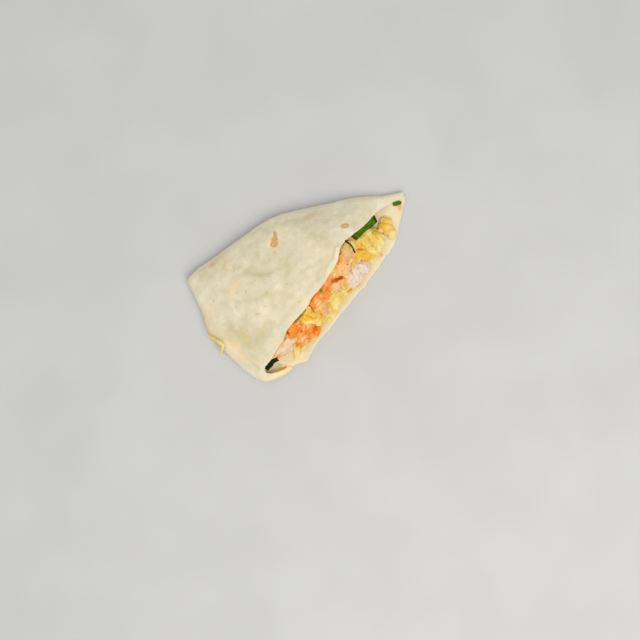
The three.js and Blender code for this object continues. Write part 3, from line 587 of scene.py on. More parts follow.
def chicken_material():
    """Cooked chicken: stretched fibres, pale where bare and orange where the sauce soaked in, with painted
    shade in its hollows, clefts and holes and painted light on its ridges.
    """
    s = Shader("cooked_chicken")
    grain = s.attribute("grain", "Vector")
    along = s.stretched(grain, (0.16, 1.0, 1.0))
    fibre = s.noise(1.9, 3.0, 0.5, vector=along, distortion=0.4)
    thread = s.noise(0.6, 2.0, 0.5, vector=along)
    pale = s.layer(srgb(225, 203, 183), (233, 218, 202), fibre, 0.36, 0.62)
    peach = s.layer(srgb(236, 164, 78), (238, 196, 128), fibre, 0.36, 0.64)
    roast = s.layer(srgb(226, 106, 10), (240, 150, 46), fibre, 0.36, 0.64)
    tan = s.layer(srgb(208, 160, 90), (228, 190, 124), fibre, 0.36, 0.64)
    soak = s.uneven("soak", s.noise(3.0, 3.0, 0.5, vector=grain), 0.7)
    color = s.mix(s.band(soak, 0.1, 0.5), pale, peach)
    color = s.mix(s.band(soak, 0.5, 0.95), color, roast)
    color = s.mix(s.attribute("tan"), color, tan)
    hollow = s.attribute("hollow")
    # Painted shade in the hollows and painted light on the ridges.
    color = s.layer(color, (224, 150, 92), hollow, 0.5, 1.0, 0.5, "MULTIPLY")
    color = s.layer(color, (246, 212, 168), hollow, 0.5, 0.0, 0.22)
    color = s.layer(color, (228, 156, 100), thread, 0.6, 0.8, 0.22, "MULTIPLY")
    # Deep red where the sauce is strongest, and painted shade in clefts and holes.
    dark = s.uneven("dark", fibre, 0.8)
    color = s.layer(color, (204, 78, 0), dark, 0.25, 0.75, 0.92)
    color = s.layer(color, (150, 42, 2), dark, 0.7, 1.2, 0.85)
    s.set(Base_Color=color, Roughness=s.band(fibre, 0.3, 0.7, 0.4, 0.56), Subsurface_Weight=0.25,
          Subsurface_Radius=(1.0, 0.45, 0.2), Subsurface_Scale=1.2 * MM, Specular_IOR_Level=0.22,
          Normal=s.bump(s.added(fibre, thread, 0.4), 0.14))
    return s.material


def spinach_material():
    """Wilted spinach: moist, veined along its length, bright where light comes through."""
    s = Shader("wilted_spinach")
    along = s.stretched(s.attribute("leaf", "Vector"), (0.0007, 0.0012, 0.0))
    lines = s.noise(0.18, 3.0, 0.6, vector=along)
    color = s.layer(srgb(32, 54, 4), (60, 96, 8), s.noise(2.2, 3.0), 0.35, 0.62)
    fresh = s.layer(srgb(42, 80, 0), (86, 130, 0), lines, 0.35, 0.65)
    color = s.mix(s.scaled(s.attribute("bright"), 0.95), color, fresh)
    color = s.mark(color, (149, 132, 22), "olive", 0.95)
    color = s.mark(color, (14, 24, 2), "shade", 0.92)
    veins = s.noise(0.8, 3.0, 0.6, distortion=1.2)
    s.set(Base_Color=color, Roughness=0.5, Specular_IOR_Level=0.1, Subsurface_Weight=0.1,
          Subsurface_Radius=(0.4, 1.0, 0.1), Subsurface_Scale=0.8 * MM,
          Normal=s.bump(s.added(veins, lines), 0.16))
    return s.material


def floor_material():
    s = Shader("pale_floor")
    color = s.layer(srgb(196, 195, 192), (201, 200, 197), s.noise(60.0, 2.0), 0.3, 0.7)
    s.set(Base_Color=color, Roughness=0.55, Specular_IOR_Level=0.3)
    return s.material


# ------------------------------------------------------------------ the tortilla's form
class Sections:
    """Sections of the folded sheet at station numbers n, from the fold to the flap's edge."""

    def __init__(self, n):
        v = np.clip(n / LAST, 0, 1)
        fold = centripetal(STATIONS[:, :3], v)
        flap = centripetal(STATIONS[:, 3:], v)
        run = flap[:, :2] - fold[:, :2]
        length = np.linalg.norm(run, axis=1)
        step = 0.004
        ahead = centripetal(STATIONS[:, :3], np.minimum(1, v + step))
        behind = centripetal(STATIONS[:, :3], np.maximum(0, v - step))
        tangent = (ahead - behind)[:, :2]
        inward = np.stack([tangent[:, 1], -tangent[:, 0]], 1)
        inward /= np.linalg.norm(inward, axis=1)[:, None]
        self.n = n[:, None]
        self.fold = fold
        self.along = run / length[:, None]
        self.facing = np.clip((self.along * inward).sum(1), 0.6, 1)[:, None]
        self.radius = fold[:, 2:3]
        self.top = flap[:, 2:3]
        self.reach = length[:, None] * self.facing

    def outer_top(self, p):
        rounded = np.minimum(p, self.radius)
        quarter = np.sqrt(np.maximum(0, self.radius ** 2 - (self.radius - rounded) ** 2))
        rise = 1 - (1 - np.clip(p / self.reach, 0, 1)) ** CROWN_POWER
        x, y = self.plan(p)
        waves = LUMP_HEIGHT * ripple(x, y, 0, 7.5, 1.3) * smoothstep(p, 3, 12)
        strip = smoothstep(self.n, *LIP_GROWS) * (1 - smoothstep(self.n, *LIP_ENDS))
        start = self.reach - lip_breadth(strip)
        crease = np.exp(-((p - start + 0.35) / 0.45) ** 2)
        curl = LIP_CURL * strip * (smoothstep(p, start - 0.2, start + 0.6) - 0.5 * crease)
        return self.radius + quarter + (self.top - 2 * self.radius) * rise + waves + curl

    def plan(self, p):
        s = p / self.facing
        return self.fold[:, 0:1] + self.along[:, 0:1] * s, self.fold[:, 1:2] + self.along[:, 1:2] * s

    def top_point(self, p, depth):
        h = 0.02
        low = np.maximum(0, p - h)
        slope = (self.outer_top(p + h) - self.outer_top(low)) / (p + h - low)
        size = np.hypot(1, slope)
        return p + depth * slope / size, self.outer_top(p) - depth / size

    def in_space(self, p, z):
        x, y = self.plan(p)
        return np.stack([x, y, np.broadcast_to(z, x.shape)], -1)


BAND_ROWS, FOLD_STEPS, TOP_STEPS, BOTTOM_ROWS = 420, 8, 110, 220


def lip_breadth(share):
    """Breadth of the flap's edge strip, from its narrow ends (0) to its middle (1)."""
    return LIP_BREADTH * lerp(0.35, 1, share)


def sheet_face(sections, depth):
    """Points of one face of the sheet round the fold, depth below its outer face."""
    radius = sections.radius
    inner = radius - depth
    columns = [(radius + BOTTOM_LAP, radius * 0 + depth)]
    for i in range(FOLD_STEPS):
        angle = math.pi / 2 * (1 - i / FOLD_STEPS)
        columns.append((radius - inner * math.cos(angle), radius - inner * math.sin(angle)))
    for i in range(FOLD_STEPS + 1):
        angle = math.pi / 2 * i / FOLD_STEPS
        lift = sections.outer_top(radius - radius * math.cos(angle)) - radius - radius * math.sin(angle)
        columns.append((radius - inner * math.cos(angle), radius + inner * math.sin(angle) + lift))
    for i in range(1, TOP_STEPS + 1):
        p = radius + (sections.reach - radius) * (i / TOP_STEPS)
        columns.append(sections.top_point(p, depth))
    p, z = (np.concatenate(part, 1) for part in zip(*columns))
    return sections.in_space(p, z)


def folded_band():
    """The sheet from under the fold, round it and over the top to the flap's edge."""
    sections = Sections(np.linspace(0, LAST, BAND_ROWS))
    return grid_sheet("band", sheet_face(sections, 0.0), sheet_face(sections, SHEET))


def bottom_sheet():
    """The flat bottom sheet, out to its torn cut edge and under the fold."""
    sections = Sections(np.linspace(0, LAST, BOTTOM_ROWS))
    rim = sections.in_space(sections.radius + 0.5 * BOTTOM_LAP, 0.0)[:, 0, :2]
    outline = [*CUT_EDGE, *(tuple(q) for q in rim)]
    size = len(outline)
    verts = [(x, y, z) for z in (0.0, SHEET) for x, y in outline]
    faces = [tuple(range(size))[::-1], tuple(range(size, 2 * size)), *ring_faces(2, size)]
    return make_object("bottom", verts, faces)


def inner_sheet():
    """The second sheet beside the blunt corner, which lifts off the bottom towards its free edge."""
    u, t = np.linspace(0, 1, 60), np.linspace(0, 1, 40)
    edge = centripetal([(x, y, 0) for x, y in INNER_EDGE], u)[:, :2]
    root = lerp(np.array(INNER_ROOT[0]), np.array(INNER_ROOT[1]), u[:, None])
    place = root[None] + (edge - root)[None] * t[:, None, None]
    rise = INNER_RISE * lerp(0.45, 1, smoothstep(u, 0, 0.5)) + INNER_SINK
    wave = 0.25 * t[:, None] * ripple(place[..., 0], place[..., 1], 0, 3, 4.2)
    z = SHEET - INNER_SINK + rise[None] * t[:, None] ** 1.4 + wave
    upper = np.concatenate([place, z[..., None]], -1)
    lower = upper.copy()
    lower[..., 2] -= lerp(1.3, INNER_THICKNESS, t)[:, None]
    return grid_sheet("inner", upper, lower)


# Marks on the sheet, in the model's frame: x, y, half length, half width, angle of the length.
PHOTO_RIGHT = math.degrees(PHOTO_TURN)  # directions of the photograph's sides in the model's frame
PHOTO_DOWN = PHOTO_RIGHT - 90
TOAST_MARKS = [
    (3, 15.4, 3.4, 1, PHOTO_DOWN + 8), (0.6, 13.9, 3, 1.9, PHOTO_DOWN - 4),
    (-1, 13.3, 2.2, 1.7, PHOTO_RIGHT), (30.2, -12.2, 2.5, 1.5, PHOTO_RIGHT + 10),
]
FAINT_TOAST_MARKS = [
    (-4.3, 10.7, 1.1, 0.9, 0), (31.9, -17.1, 0.9, 0.7, 0), (-37.3, 17.9, 1.2, 0.9, 0),
    (-34.7, 13.8, 1.6, 0.8, PHOTO_RIGHT), (-30.9, 10, 2, 0.9, PHOTO_DOWN), (-42.4, 22.7, 1, 0.7, 0),
    (-46, 21.9, 1.7, 0.7, PHOTO_DOWN), (-41, 9.6, 1.1, 0.9, 0), (-52.3, 1.6, 1.3, 1, PHOTO_DOWN),
    (-36.8, -2.7, 2.4, 1, PHOTO_RIGHT), (-14.3, -5.8, 0.9, 0.8, 0), (-31, -3.2, 0.9, 0.8, 0),
]
MARKS = {
    "olive": [
        (-19.6, 11.2, 7, 1.8, PHOTO_RIGHT - 4), (-53.6, 4.9, 3.6, 2.4, PHOTO_DOWN),
        (-51.5, -2.5, 5.4, 3, -120), (-53.6, -7.4, 4.4, 3, -100), (-45, -10.4, 5.6, 2.8, 20),
        (-6.5, -0.6, 3.6, 2.2, PHOTO_DOWN), (-24.6, 22.7, 2.6, 1.8, 0), (-11.3, 16.6, 3, 2, PHOTO_DOWN),
        (-24, -2, 4.5, 2.6, PHOTO_RIGHT), (16, -6, 6, 3.2, PHOTO_RIGHT), (-57.4, -15.5, 4, 2.4, -70),
    ],
    "grease": [
        (-27, 28.1, 4.4, 2.3, PHOTO_DOWN), (-24.3, 33.8, 5, 1.8, -20), (24, 6, 5, 2, -38),
        (-51.5, -5, 5, 2.2, -110), (-58, 2, 4.5, 2.4, -75),
    ],
    # Painted warm light on the slopes round the fold and at the blunt end.
    "peach": [
        (-60.8, -2.9, 6, 3.6, 90), (-62, -9.6, 5, 3, 90), (50, -10, 6, 2.4, -48), (-33, 17, 5, 3, 0),
        (-55, 22, 5, 4, 60), (-61.5, 15.5, 6, 3, -70),
    ],
    "sauce": [
        (-30.5, 35, 1.7, 1.3, 0), (-52.6, -32.1, 1.3, 0.9, 0), (58.8, -30.5, 2.2, 1.3, PHOTO_DOWN),
        (31, -37.7, 1.3, 1.1, 0), (-50.4, -33.9, 2.4, 0.6, PHOTO_RIGHT),
    ],
    # Painted light in the shaded pocket beside the blunt corner.
    "pocket_light": [
        (-54.6, -31.6, 5.5, 2.2, -28), (-57, -29.2, 3, 1.8, -40), (-50, -36, 3, 1.4, -28),
    ],
}
INNER_MARKS = ("sauce", "pocket_light")  # these lie on the inner face too
# Where the pocket's floor is raised, and by how much in mm.
POCKET_END = [(-52.0, -30.8, 2.8, 1.7, PHOTO_RIGHT)]
POCKET_END_RISE = 2.4

# Creases of the top sheet, from the stations' own origin: depth, half width, and line of x, y points.
CREASES = [
    (0.42, 1.5, [(-22.7, 28), (-22.7, 24.2), (-22.1, 19.2), (-20.9, 12.5), (-18.2, 8.6), (-14.5, 5.5)]),
    (0.34, 1.3, [(-39, 10.9), (-35.3, 7.7), (-31.9, 4.1), (-29.6, 1.4), (-25.2, 0.4)]),
    (0.3, 1.2, [(-5.4, -6.6), (-2.9, -8.5), (0.1, -9.2), (2.5, -11), (6, -12.4)]),
    (0.34, 1.6, [(-36.6, -15.4), (-28.8, -15.6), (-21.6, -15.6), (-15.3, -16.2), (-7.6, -17.4),
                 (-1.7, -17.6)]),
    (0.3, 1.8, [(1.9, 25.8), (11.6, 18.1), (20.3, 11.3), (29, 3.9), (36.9, -4)]),
    (0.9, 3.4, [(-52.6, 8), (-55, 2), (-56.5, -5), (-51, -8.6), (-45, -10.4), (-38, -11)]),
    (0.3, 1.3, [(-61, -13), (-62, -17), (-62.8, -20.5)]),
]


def marks(points, spots, strength=1.0, soft=True):
    """How strongly each point is covered by oval marks, from 0 to 1."""
    total = np.zeros(len(points))
    for x, y, long, wide, angle in spots:
        c, s = math.cos(math.radians(angle)), math.sin(math.radians(angle))
        dx, dy = points[:, 0] - x, points[:, 1] - y
        reach = np.hypot((dx * c + dy * s) / long, (-dx * s + dy * c) / wide)
        total = np.maximum(total, strength * (falloff(reach) if soft else 1 - smoothstep(reach, 0.75, 1.25)))
    return total


def creases(points):
    """Depth in mm of the creases at each point."""
    depth = np.zeros(len(points))
    for deep, wide, line in CREASES:
        wander = gap_to_line(points, line) + 0.5 * fractal(points, 3.0, octaves=2, seed=deep * 10)
        depth = np.maximum(depth, deep * np.exp(-(wander / wide) ** 2))
    return depth


SHEET_VOXEL = 0.605  # small enough for the creases, large enough to stay under 200,000 triangles
PILLOW_HEIGHT, PILLOW_SIZE = 0.34, 9.0
DIMPLE_HEIGHT, DIMPLE_SIZE = 0.1, 2.6
EDGE_OF_LIP = STATIONS[9:18, 3:5]
TOP_STARTS = (4.5, 7.0)  # heights between which the relief of the top sets in
UNDERSIDE, FLOOR_FACE = 0.6, SHEET + 0.9  # the bottom sheet's two faces lie below these heights
POCKET_FLOOR = (1.0, 3.2)  # heights between which the pocket's floor lies
BLUNT_CORNER = (-38, -24, 6.5)  # the inner sheet lies below this x, y and z


def build_tortilla():
    sheet = joined("tortilla_soft", [folded_band(), bottom_sheet(), inner_sheet()])
    voxel_remesh(sheet, SHEET_VOXEL, smoothing=2)
    points, facing = coordinates(sheet), normals(sheet)
    top = smoothstep(points[:, 2], *TOP_STARTS) * (facing[:, 2] > 0.05)
    folds = creases(points) * top
    pillows = PILLOW_HEIGHT * fractal(points, PILLOW_SIZE, octaves=2, seed=3.0) * top
    dimples = DIMPLE_HEIGHT * fractal(points, DIMPLE_SIZE, octaves=3, seed=8.0)
    points += facing * np.where(points[:, 2] < UNDERSIDE, 0, pillows + dimples - folds)[:, None]
    points[:, 2] = np.maximum(points[:, 2], 0.0)
    points += ORIGIN_SHIFT
    low, high = POCKET_FLOOR
    pocket_floor = (points[:, 2] > low) & (points[:, 2] < high) & (facing[:, 2] > 0.3)
    points[:, 2] += POCKET_END_RISE * marks(points, POCKET_END) * pocket_floor
    set_coordinates(sheet, points)
    # How sunk the dough is sets its painted shade in creases, troughs and dimples, and its painted light on
    # raised bits.
    paint_tortilla(sheet, points, facing[:, 2], 0.9 * folds - 1.1 * pillows - 2.4 * dimples)
    finish_piece(sheet, tortilla_material(), "tortilla", "tortilla")
    return sheet


def paint_tortilla(sheet, points, upward, sunk):
    """Stores where the dough is sunk, on its inner face, toasted and stained, and where light and shade are
    painted on it.
    """
    own = points - ORIGIN_SHIFT
    on_floor = (points[:, 2] < FLOOR_FACE) & (upward > 0.5)
    lifted = (points < np.array(BLUNT_CORNER)).all(axis=1) & (upward > 0.3)
    outside = np.where(on_floor | lifted, 0.0, 1.0)
    toast = np.maximum(marks(points, TOAST_MARKS, soft=False), marks(points, FAINT_TOAST_MARKS, 0.55))
    along = smoothstep(own[:, 0], *LIP_GROWS_X) * (1 - smoothstep(own[:, 0], *LIP_ENDS_X))
    past_lip = gap_to_line(own, EDGE_OF_LIP) - lip_breadth(along)
    # A painted shadow line just inside the flap's curled strip.
    lip_shadow_line = np.exp(-((past_lip - 0.35) / 0.5) ** 2) * along * outside
    # Painted greyish shade on the bottom sheet, fading out from the filling's foot.
    from_food = gap_to_line(own, FILLING_FOOT) + fractal(own, 3.0, octaves=2, seed=9.0)
    melt = 1 - smoothstep(from_food, 0.4, 3.4)
    set_attributes(
        sheet,
        inside=1 - outside,
        # Painted light on the slopes.
        slope=outside * (1 - smoothstep(upward, 0.3, 0.95)),
        toast=outside * toast,
        lip=along * (1 - smoothstep(past_lip, -0.5, 0.1)) * outside,
        # Painted shade in hollows and creases, painted light on raised bits, and the painted shadow line by
        # the lip.
        hollow=np.clip(0.5 + sunk + 0.5 * lip_shadow_line, 0, 1),
        # The painted greyish shade beside the filling's foot.
        melt=melt * (on_floor & (own[:, 0] > BLUNT_CORNER[0])),
    )
    for name, spots in MARKS.items():
        set_attributes(sheet, **{name: marks(points, spots) * (1 if name in INNER_MARKS else outside)})


# ------------------------------------------------------------------ small bodies, laid where they show
LONGEST_STEP = 12  # mm; a strip with a longer step would cross a gap, and is left out
SLOPE_WAY = Vector((0.0, 0.72, -0.69)).normalized()  # straight onto the slope of the filling
SLOPE_HEIGHT, FAR_OUT = 12.0, 60.0


def strip_mesh(line, up, width, thickness, sides=8):
    """Rings of a soft flat strip along a line of points, its broad side facing the up vectors."""
    steps = 5 * (len(line) - 1) + 1
    t = np.linspace(0, 1, steps)
    centre, facing = centripetal(line, t), centripetal(up, t)
    tangent = np.gradient(centre, axis=0)
    tangent /= np.linalg.norm(tangent, axis=1)[:, None]
    side = np.cross(tangent, facing)
    side /= np.linalg.norm(side, axis=1)[:, None]
    top = np.cross(side, tangent)
    taper = 1 - 0.55 * np.abs(2 * t - 1) ** 6
    rings = []
    for k in range(sides):
        angle = 2 * math.pi * k / sides
        a = math.copysign(abs(math.cos(angle)) ** 0.6, math.cos(angle)) * width / 2
        b = math.copysign(abs(math.sin(angle)) ** 0.6, math.sin(angle)) * thickness / 2
        rings.append(centre + side * (a * taper)[:, None] + top * (b * taper)[:, None])
    caps = [tuple(range(sides))[::-1], tuple(range((steps - 1) * sides, steps * sides))]
    return np.stack(rings, 1).reshape(-1, 3), ring_faces(steps, sides) + caps


def crumb(bundle, at, half, seed):
    """A small ragged lump."""
    rows, columns = 7, 10
    ways = []
    for i, k in itertools.product(range(rows + 1), range(columns)):
        tilt, turn = math.pi * i / rows, 2 * math.pi * k / columns
        ways.append((math.sin(tilt) * math.cos(turn), math.sin(tilt) * math.sin(turn), math.cos(tilt)))
    ways = np.array(ways)
    size = 1 + 0.3 * value_noise(ways * 1.7 + seed * 7.3)
    faces = [(a, d, c, b) for a, b, c, d in ring_faces(rows + 1, columns)]
    bundle.add(np.array(at) + ways * np.array(half) * size[:, None], faces)


class Ground:
    """The surfaces that small things are laid on, as points and normals, or two Nones where none is met."""

    def __init__(self, objects):
        surfaces = Bundle(objects)
        self.tree = BVHTree.FromPolygons([tuple(v) for v in surfaces.verts], surfaces.faces)

    def first(self, origin, way):
        """The first surface met from origin along way."""
        spot, facing, _, _ = self.tree.ray_cast(origin, way)
        return (None, None) if spot is None else (np.array(spot), np.array(facing))

    def on_slope(self, x, y):
        """The surface met straight onto the slope of the filling, through x, y at a height within it."""
        spot, facing = self.first(Vector((x, y, SLOPE_HEIGHT)) - SLOPE_WAY * FAR_OUT, SLOPE_WAY)
        if spot is not None and np.dot(facing, SLOPE_WAY) > 0:
            facing = -facing
        return spot, facing

    def seen(self, right, down):
        """The surface that shows at a pixel of the photograph."""
        half = FRAME_PIXELS / 2
        way = photo_direction((right - half) * PIXEL, (half - down) * PIXEL, -CAMERA[2])
        return self.first(Vector(CAMERA), way)

    def found(self, rows):
        """For rows that start with a pixel: the point and the normal that show there, and the row's rest."""
        for right, down, *rest in rows:
            spot, facing = self.seen(right, down)
            if spot is not None:
                yield spot, facing, *rest


def laid_strip(bundle, find, places, width, thickness, lift):
    """A strip laid through places, each found by a method of a ground."""
    line, up = [], []
    for place in places:
        spot, facing = find(*place)
        if spot is None:
            return
        line.append(spot + facing * lift)
        up.append(facing)
    if max(np.linalg.norm(b - a) for a, b in zip(line, line[1:])) < LONGEST_STEP:
        bundle.add(*strip_mesh(line, up, width, thickness))


# ------------------------------------------------------------------ the filling
# Melted strips of cheese that show on the filling, as pixels of the photograph.
STRIPS_SEEN = [
    [(354, 288), (348, 292), (341, 296)], [(342, 287), (347, 286), (353, 285)],
    [(340, 292), (337, 298), (333, 304)], [(345, 296), (340, 301), (336, 305)],
    [(300, 323), (306, 322), (312, 321)], [(319, 322), (324, 321), (328, 317)],
    [(303, 316), (307, 318), (312, 320)], [(308, 313), (314, 315), (320, 315)],
    [(358, 238), (363, 242), (369, 247)], [(366, 233), (371, 237), (377, 240)],
    [(372, 240), (376, 244), (381, 247)], [(329, 306), (333, 309), (337, 314)],
    [(376, 229), (378, 235), (382, 240)], [(318, 316), (323, 318), (328, 318)],
]
# Broad shreds that lie over the meat or hang onto the sheet: width in mm, and line.
HANGING_SHREDS = [
    (2.6, [(350, 242.2), (353.4, 245.5), (355.6, 250)]), (3, [(298, 345), (297, 352), (296.5, 360)]),
    (2.6, [(305.5, 341), (303.5, 346), (302.5, 351)]), (1.8, [(293.5, 344), (294.5, 349), (295.5, 353)]),
]
# Melted lumps: right, down, radius in mm, and height as a share of it.
LUMPS_SEEN = [
    (357.5, 253.5, 2.1, 0.75), (366, 256.5, 2.8, 0.75), (371.5, 261, 2, 0.75), (374, 252, 1.8, 0.75),
    (378, 246, 2, 0.75), (381, 242, 1.8, 0.6), (365, 240, 1.6, 0.6), (368, 245, 2.2, 0.7),
    (373, 238, 1.8, 0.6), (353.5, 245.5, 2, 0.8), (359, 245, 1.7, 0.7), (362, 247.5, 1.5, 0.75),
    (333, 309, 1.9, 0.75), (337, 303, 1.9, 0.75), (330, 315, 1.8, 0.75), (331, 305, 1.8, 0.75),
    (341, 294, 1.5, 0.75), (308, 319, 1.6, 0.75), (316, 319, 1.7, 0.75), (359, 259.5, 1.9, 0.75),
    (353, 259, 1.7, 0.75), (326, 318, 1.6, 0.75), (383, 237, 1.7, 0.45), (382, 244, 1.8, 0.45),
    (379, 250, 2, 0.45), (376, 256, 2, 0.45), (374, 263, 1.8, 0.45), (336, 308, 2.2, 0.5),
    (333, 315, 2.2, 0.5), (340, 301, 2, 0.5), (381, 231.5, 1.6, 0.5), (328, 320, 2, 0.5),
    (334, 293.6, 1.5, 0.6), (338.4, 293, 1.5, 0.6), (331.6, 291.6, 1.2, 0.6), (362.5, 260.6, 1.3, 0.6),
]
# No swelling under the bright leaf: strength, half width in mm, and line.
LEAF_BED = [(1.0, 2.6, [(354, 237), (364, 228), (376, 217)])]
# Where the cheese is deep yellow, pale, green from herbs or stained: right, down, half length and
# half width in mm.
STRONG_YELLOW = [
    (357.5, 253.5, 2.2, 1.8), (366, 257, 2.6, 2.7), (306, 317, 2.4, 1.5), (313, 317, 3, 1.2),
    (322, 316, 2, 1.4), (330, 307, 1.8, 1.6), (376, 235, 0.8, 3), (358, 246, 2.4, 1.2),
]
PALE_YELLOW = [
    (377, 245, 3, 2.6), (374, 252, 1.6, 1.6), (371.5, 261, 2, 2), (369, 231, 2.6, 1.6),
    (358, 238.5, 1.6, 1.2), (383, 240, 1.8, 4), (378, 252, 2.4, 4), (374, 262, 2.4, 3), (336, 306, 3, 2.4),
    (334, 313, 3, 3), (297, 354, 3, 5), (304, 346, 3, 3), (344, 291, 3, 2), (352, 286, 3, 1.6),
    (308, 322.5, 4, 1), (328, 313, 1.6, 2), (337, 300, 2.2, 2.2),
]
HERB_TINT = [(353, 245.5, 2.0, 2.6)]
STAINS = [(361, 250, 2.8, 0.7), (338, 279.5, 3.6, 1.3), (345, 277, 1.6, 0.9)]
# Deep yellow lines along the sides of shreds, as pixels of the photograph.
YELLOW_LINES = [
    [(338.5, 294), (343, 289.5), (348, 288)], [(340, 298), (346, 293), (352, 288)],
    [(300.5, 318.5), (304, 319.3), (308, 319.6)], [(299, 325), (305, 324), (311, 323)],
    [(361, 263), (366, 261.5), (370, 258)],
]
YELLOW_DEPTH, YELLOW_WIDTH = 0.9, 0.5

# Colours of the meat where they show, as pixels of the photograph: right, down, reach in mm,
# how far the sauce soaked in, and how tan and how dark, left out where they are 0. The darkness is
# partly deep red sauce and partly painted shade in clefts and holes.
MEAT_TONES = [
    (346, 246, 2.2, 0.5, 1), (351, 252, 2.2, 0.4, 0.9), (344, 252, 2.2, 0.5, 0.7),
    (340, 249, 1.4, 0.7, 0.5, 0.1), (349, 258, 2, 0.35, 0.5), (344, 258, 2, 0.45, 0.3),
    (348, 265, 1.8, 0.35, 0.1), (342, 264, 1.8, 0.62), (339, 268, 1.6, 0.55), (344, 270, 1.8, 0.5),
    (341, 273, 1.6, 0.42), (334, 273.5, 1.6, 0.25, 0.3), (336, 269, 1.2, 0.66), (348, 271, 1.6, 0.35),
    (352, 266.5, 1.2, 0.5, 0.1), (357, 268, 2.6, 0), (355, 277, 3.2, 0), (347, 277, 1.8, 0.3),
    (363, 269, 3, 0), (352, 285, 2.2, 0.12), (366, 276, 1.2, 0.4), (346, 284, 1.2, 0.4),
    (336, 279.5, 1.2, 1, 0, 0.95), (341, 277.5, 0.9, 1, 0, 1), (338.5, 278.4, 0.9, 1, 0, 0.9),
    (344.5, 278.5, 0.9, 0.9, 0, 0.3), (332.6, 280.8, 1.2, 0.9, 0, 0.6), (343, 282, 1.6, 0.45),
    (335, 286, 1.8, 0.28, 0.3), (339, 282.5, 1.2, 0.45, 0.1), (336, 289, 1.6, 0.3, 0.45),
    (330, 277, 2.2, 0.75), (326, 284, 2.2, 0.85, 0, 0.1), (329, 288, 2, 0.82), (323, 286, 1.2, 1, 0, 0.5),
    (326, 294, 2.2, 0.82), (320, 294, 1.8, 0.75), (316, 297, 1.6, 0.9), (311, 303, 2, 1.1, 0, 0.15),
    (317, 302, 1.6, 0.42), (314.5, 306, 1.4, 0.8), (322, 300, 1.8, 0.8), (324.5, 303, 1.6, 0.5, 0.45),
    (325, 308, 2, 0.4, 0.5), (320, 309, 1.8, 0.5, 0.1), (315, 311, 1.6, 0.45),
    (309.5, 307, 0.9, 0.9, 0, 1.3), (312, 310, 0.7, 0.9, 0, 1.1), (299, 323, 2, 0.75),
    (309, 325.4, 1.2, 0.62), (295, 329, 2.4, 1.05, 0, 0.1), (292, 335, 1.8, 0.95), (298, 333, 1.6, 0.85),
    (288.5, 332.5, 0.6, 1, 0, 1.4), (300.5, 332, 0.7, 1, 0, 1), (292, 341, 2, 0.22, 0.1),
    (286, 344, 2.8, 0.2, 0.3), (279, 343, 0.9, 0.8), (277, 348, 0.8, 0.55, 0.1), (281, 351, 2, 0.2, 0.15),
    (284.5, 351.5, 1.4, 0.25, 0.1), (289.5, 348, 1.4, 0.22, 0.1), (278.5, 355, 1.2, 0.35, 0.1),
    (275, 354, 1, 0.5, 0.2), (312, 325, 1.8, 0.9), (318, 331, 2, 1.05, 0, 0.1),
    (315, 328.4, 0.9, 1, 0, 0.85), (307, 328, 1.6, 0.8), (304, 332, 1.4, 0.9), (307.5, 333.5, 1.4, 0.82),
    (301, 339, 1.5, 0.5), (304.5, 339.5, 1.2, 0.42), (297, 344, 1.8, 0.95), (307, 343, 1.8, 0.75),
    (314, 338, 1.8, 0.9), (310, 338, 1.2, 0.7),
]
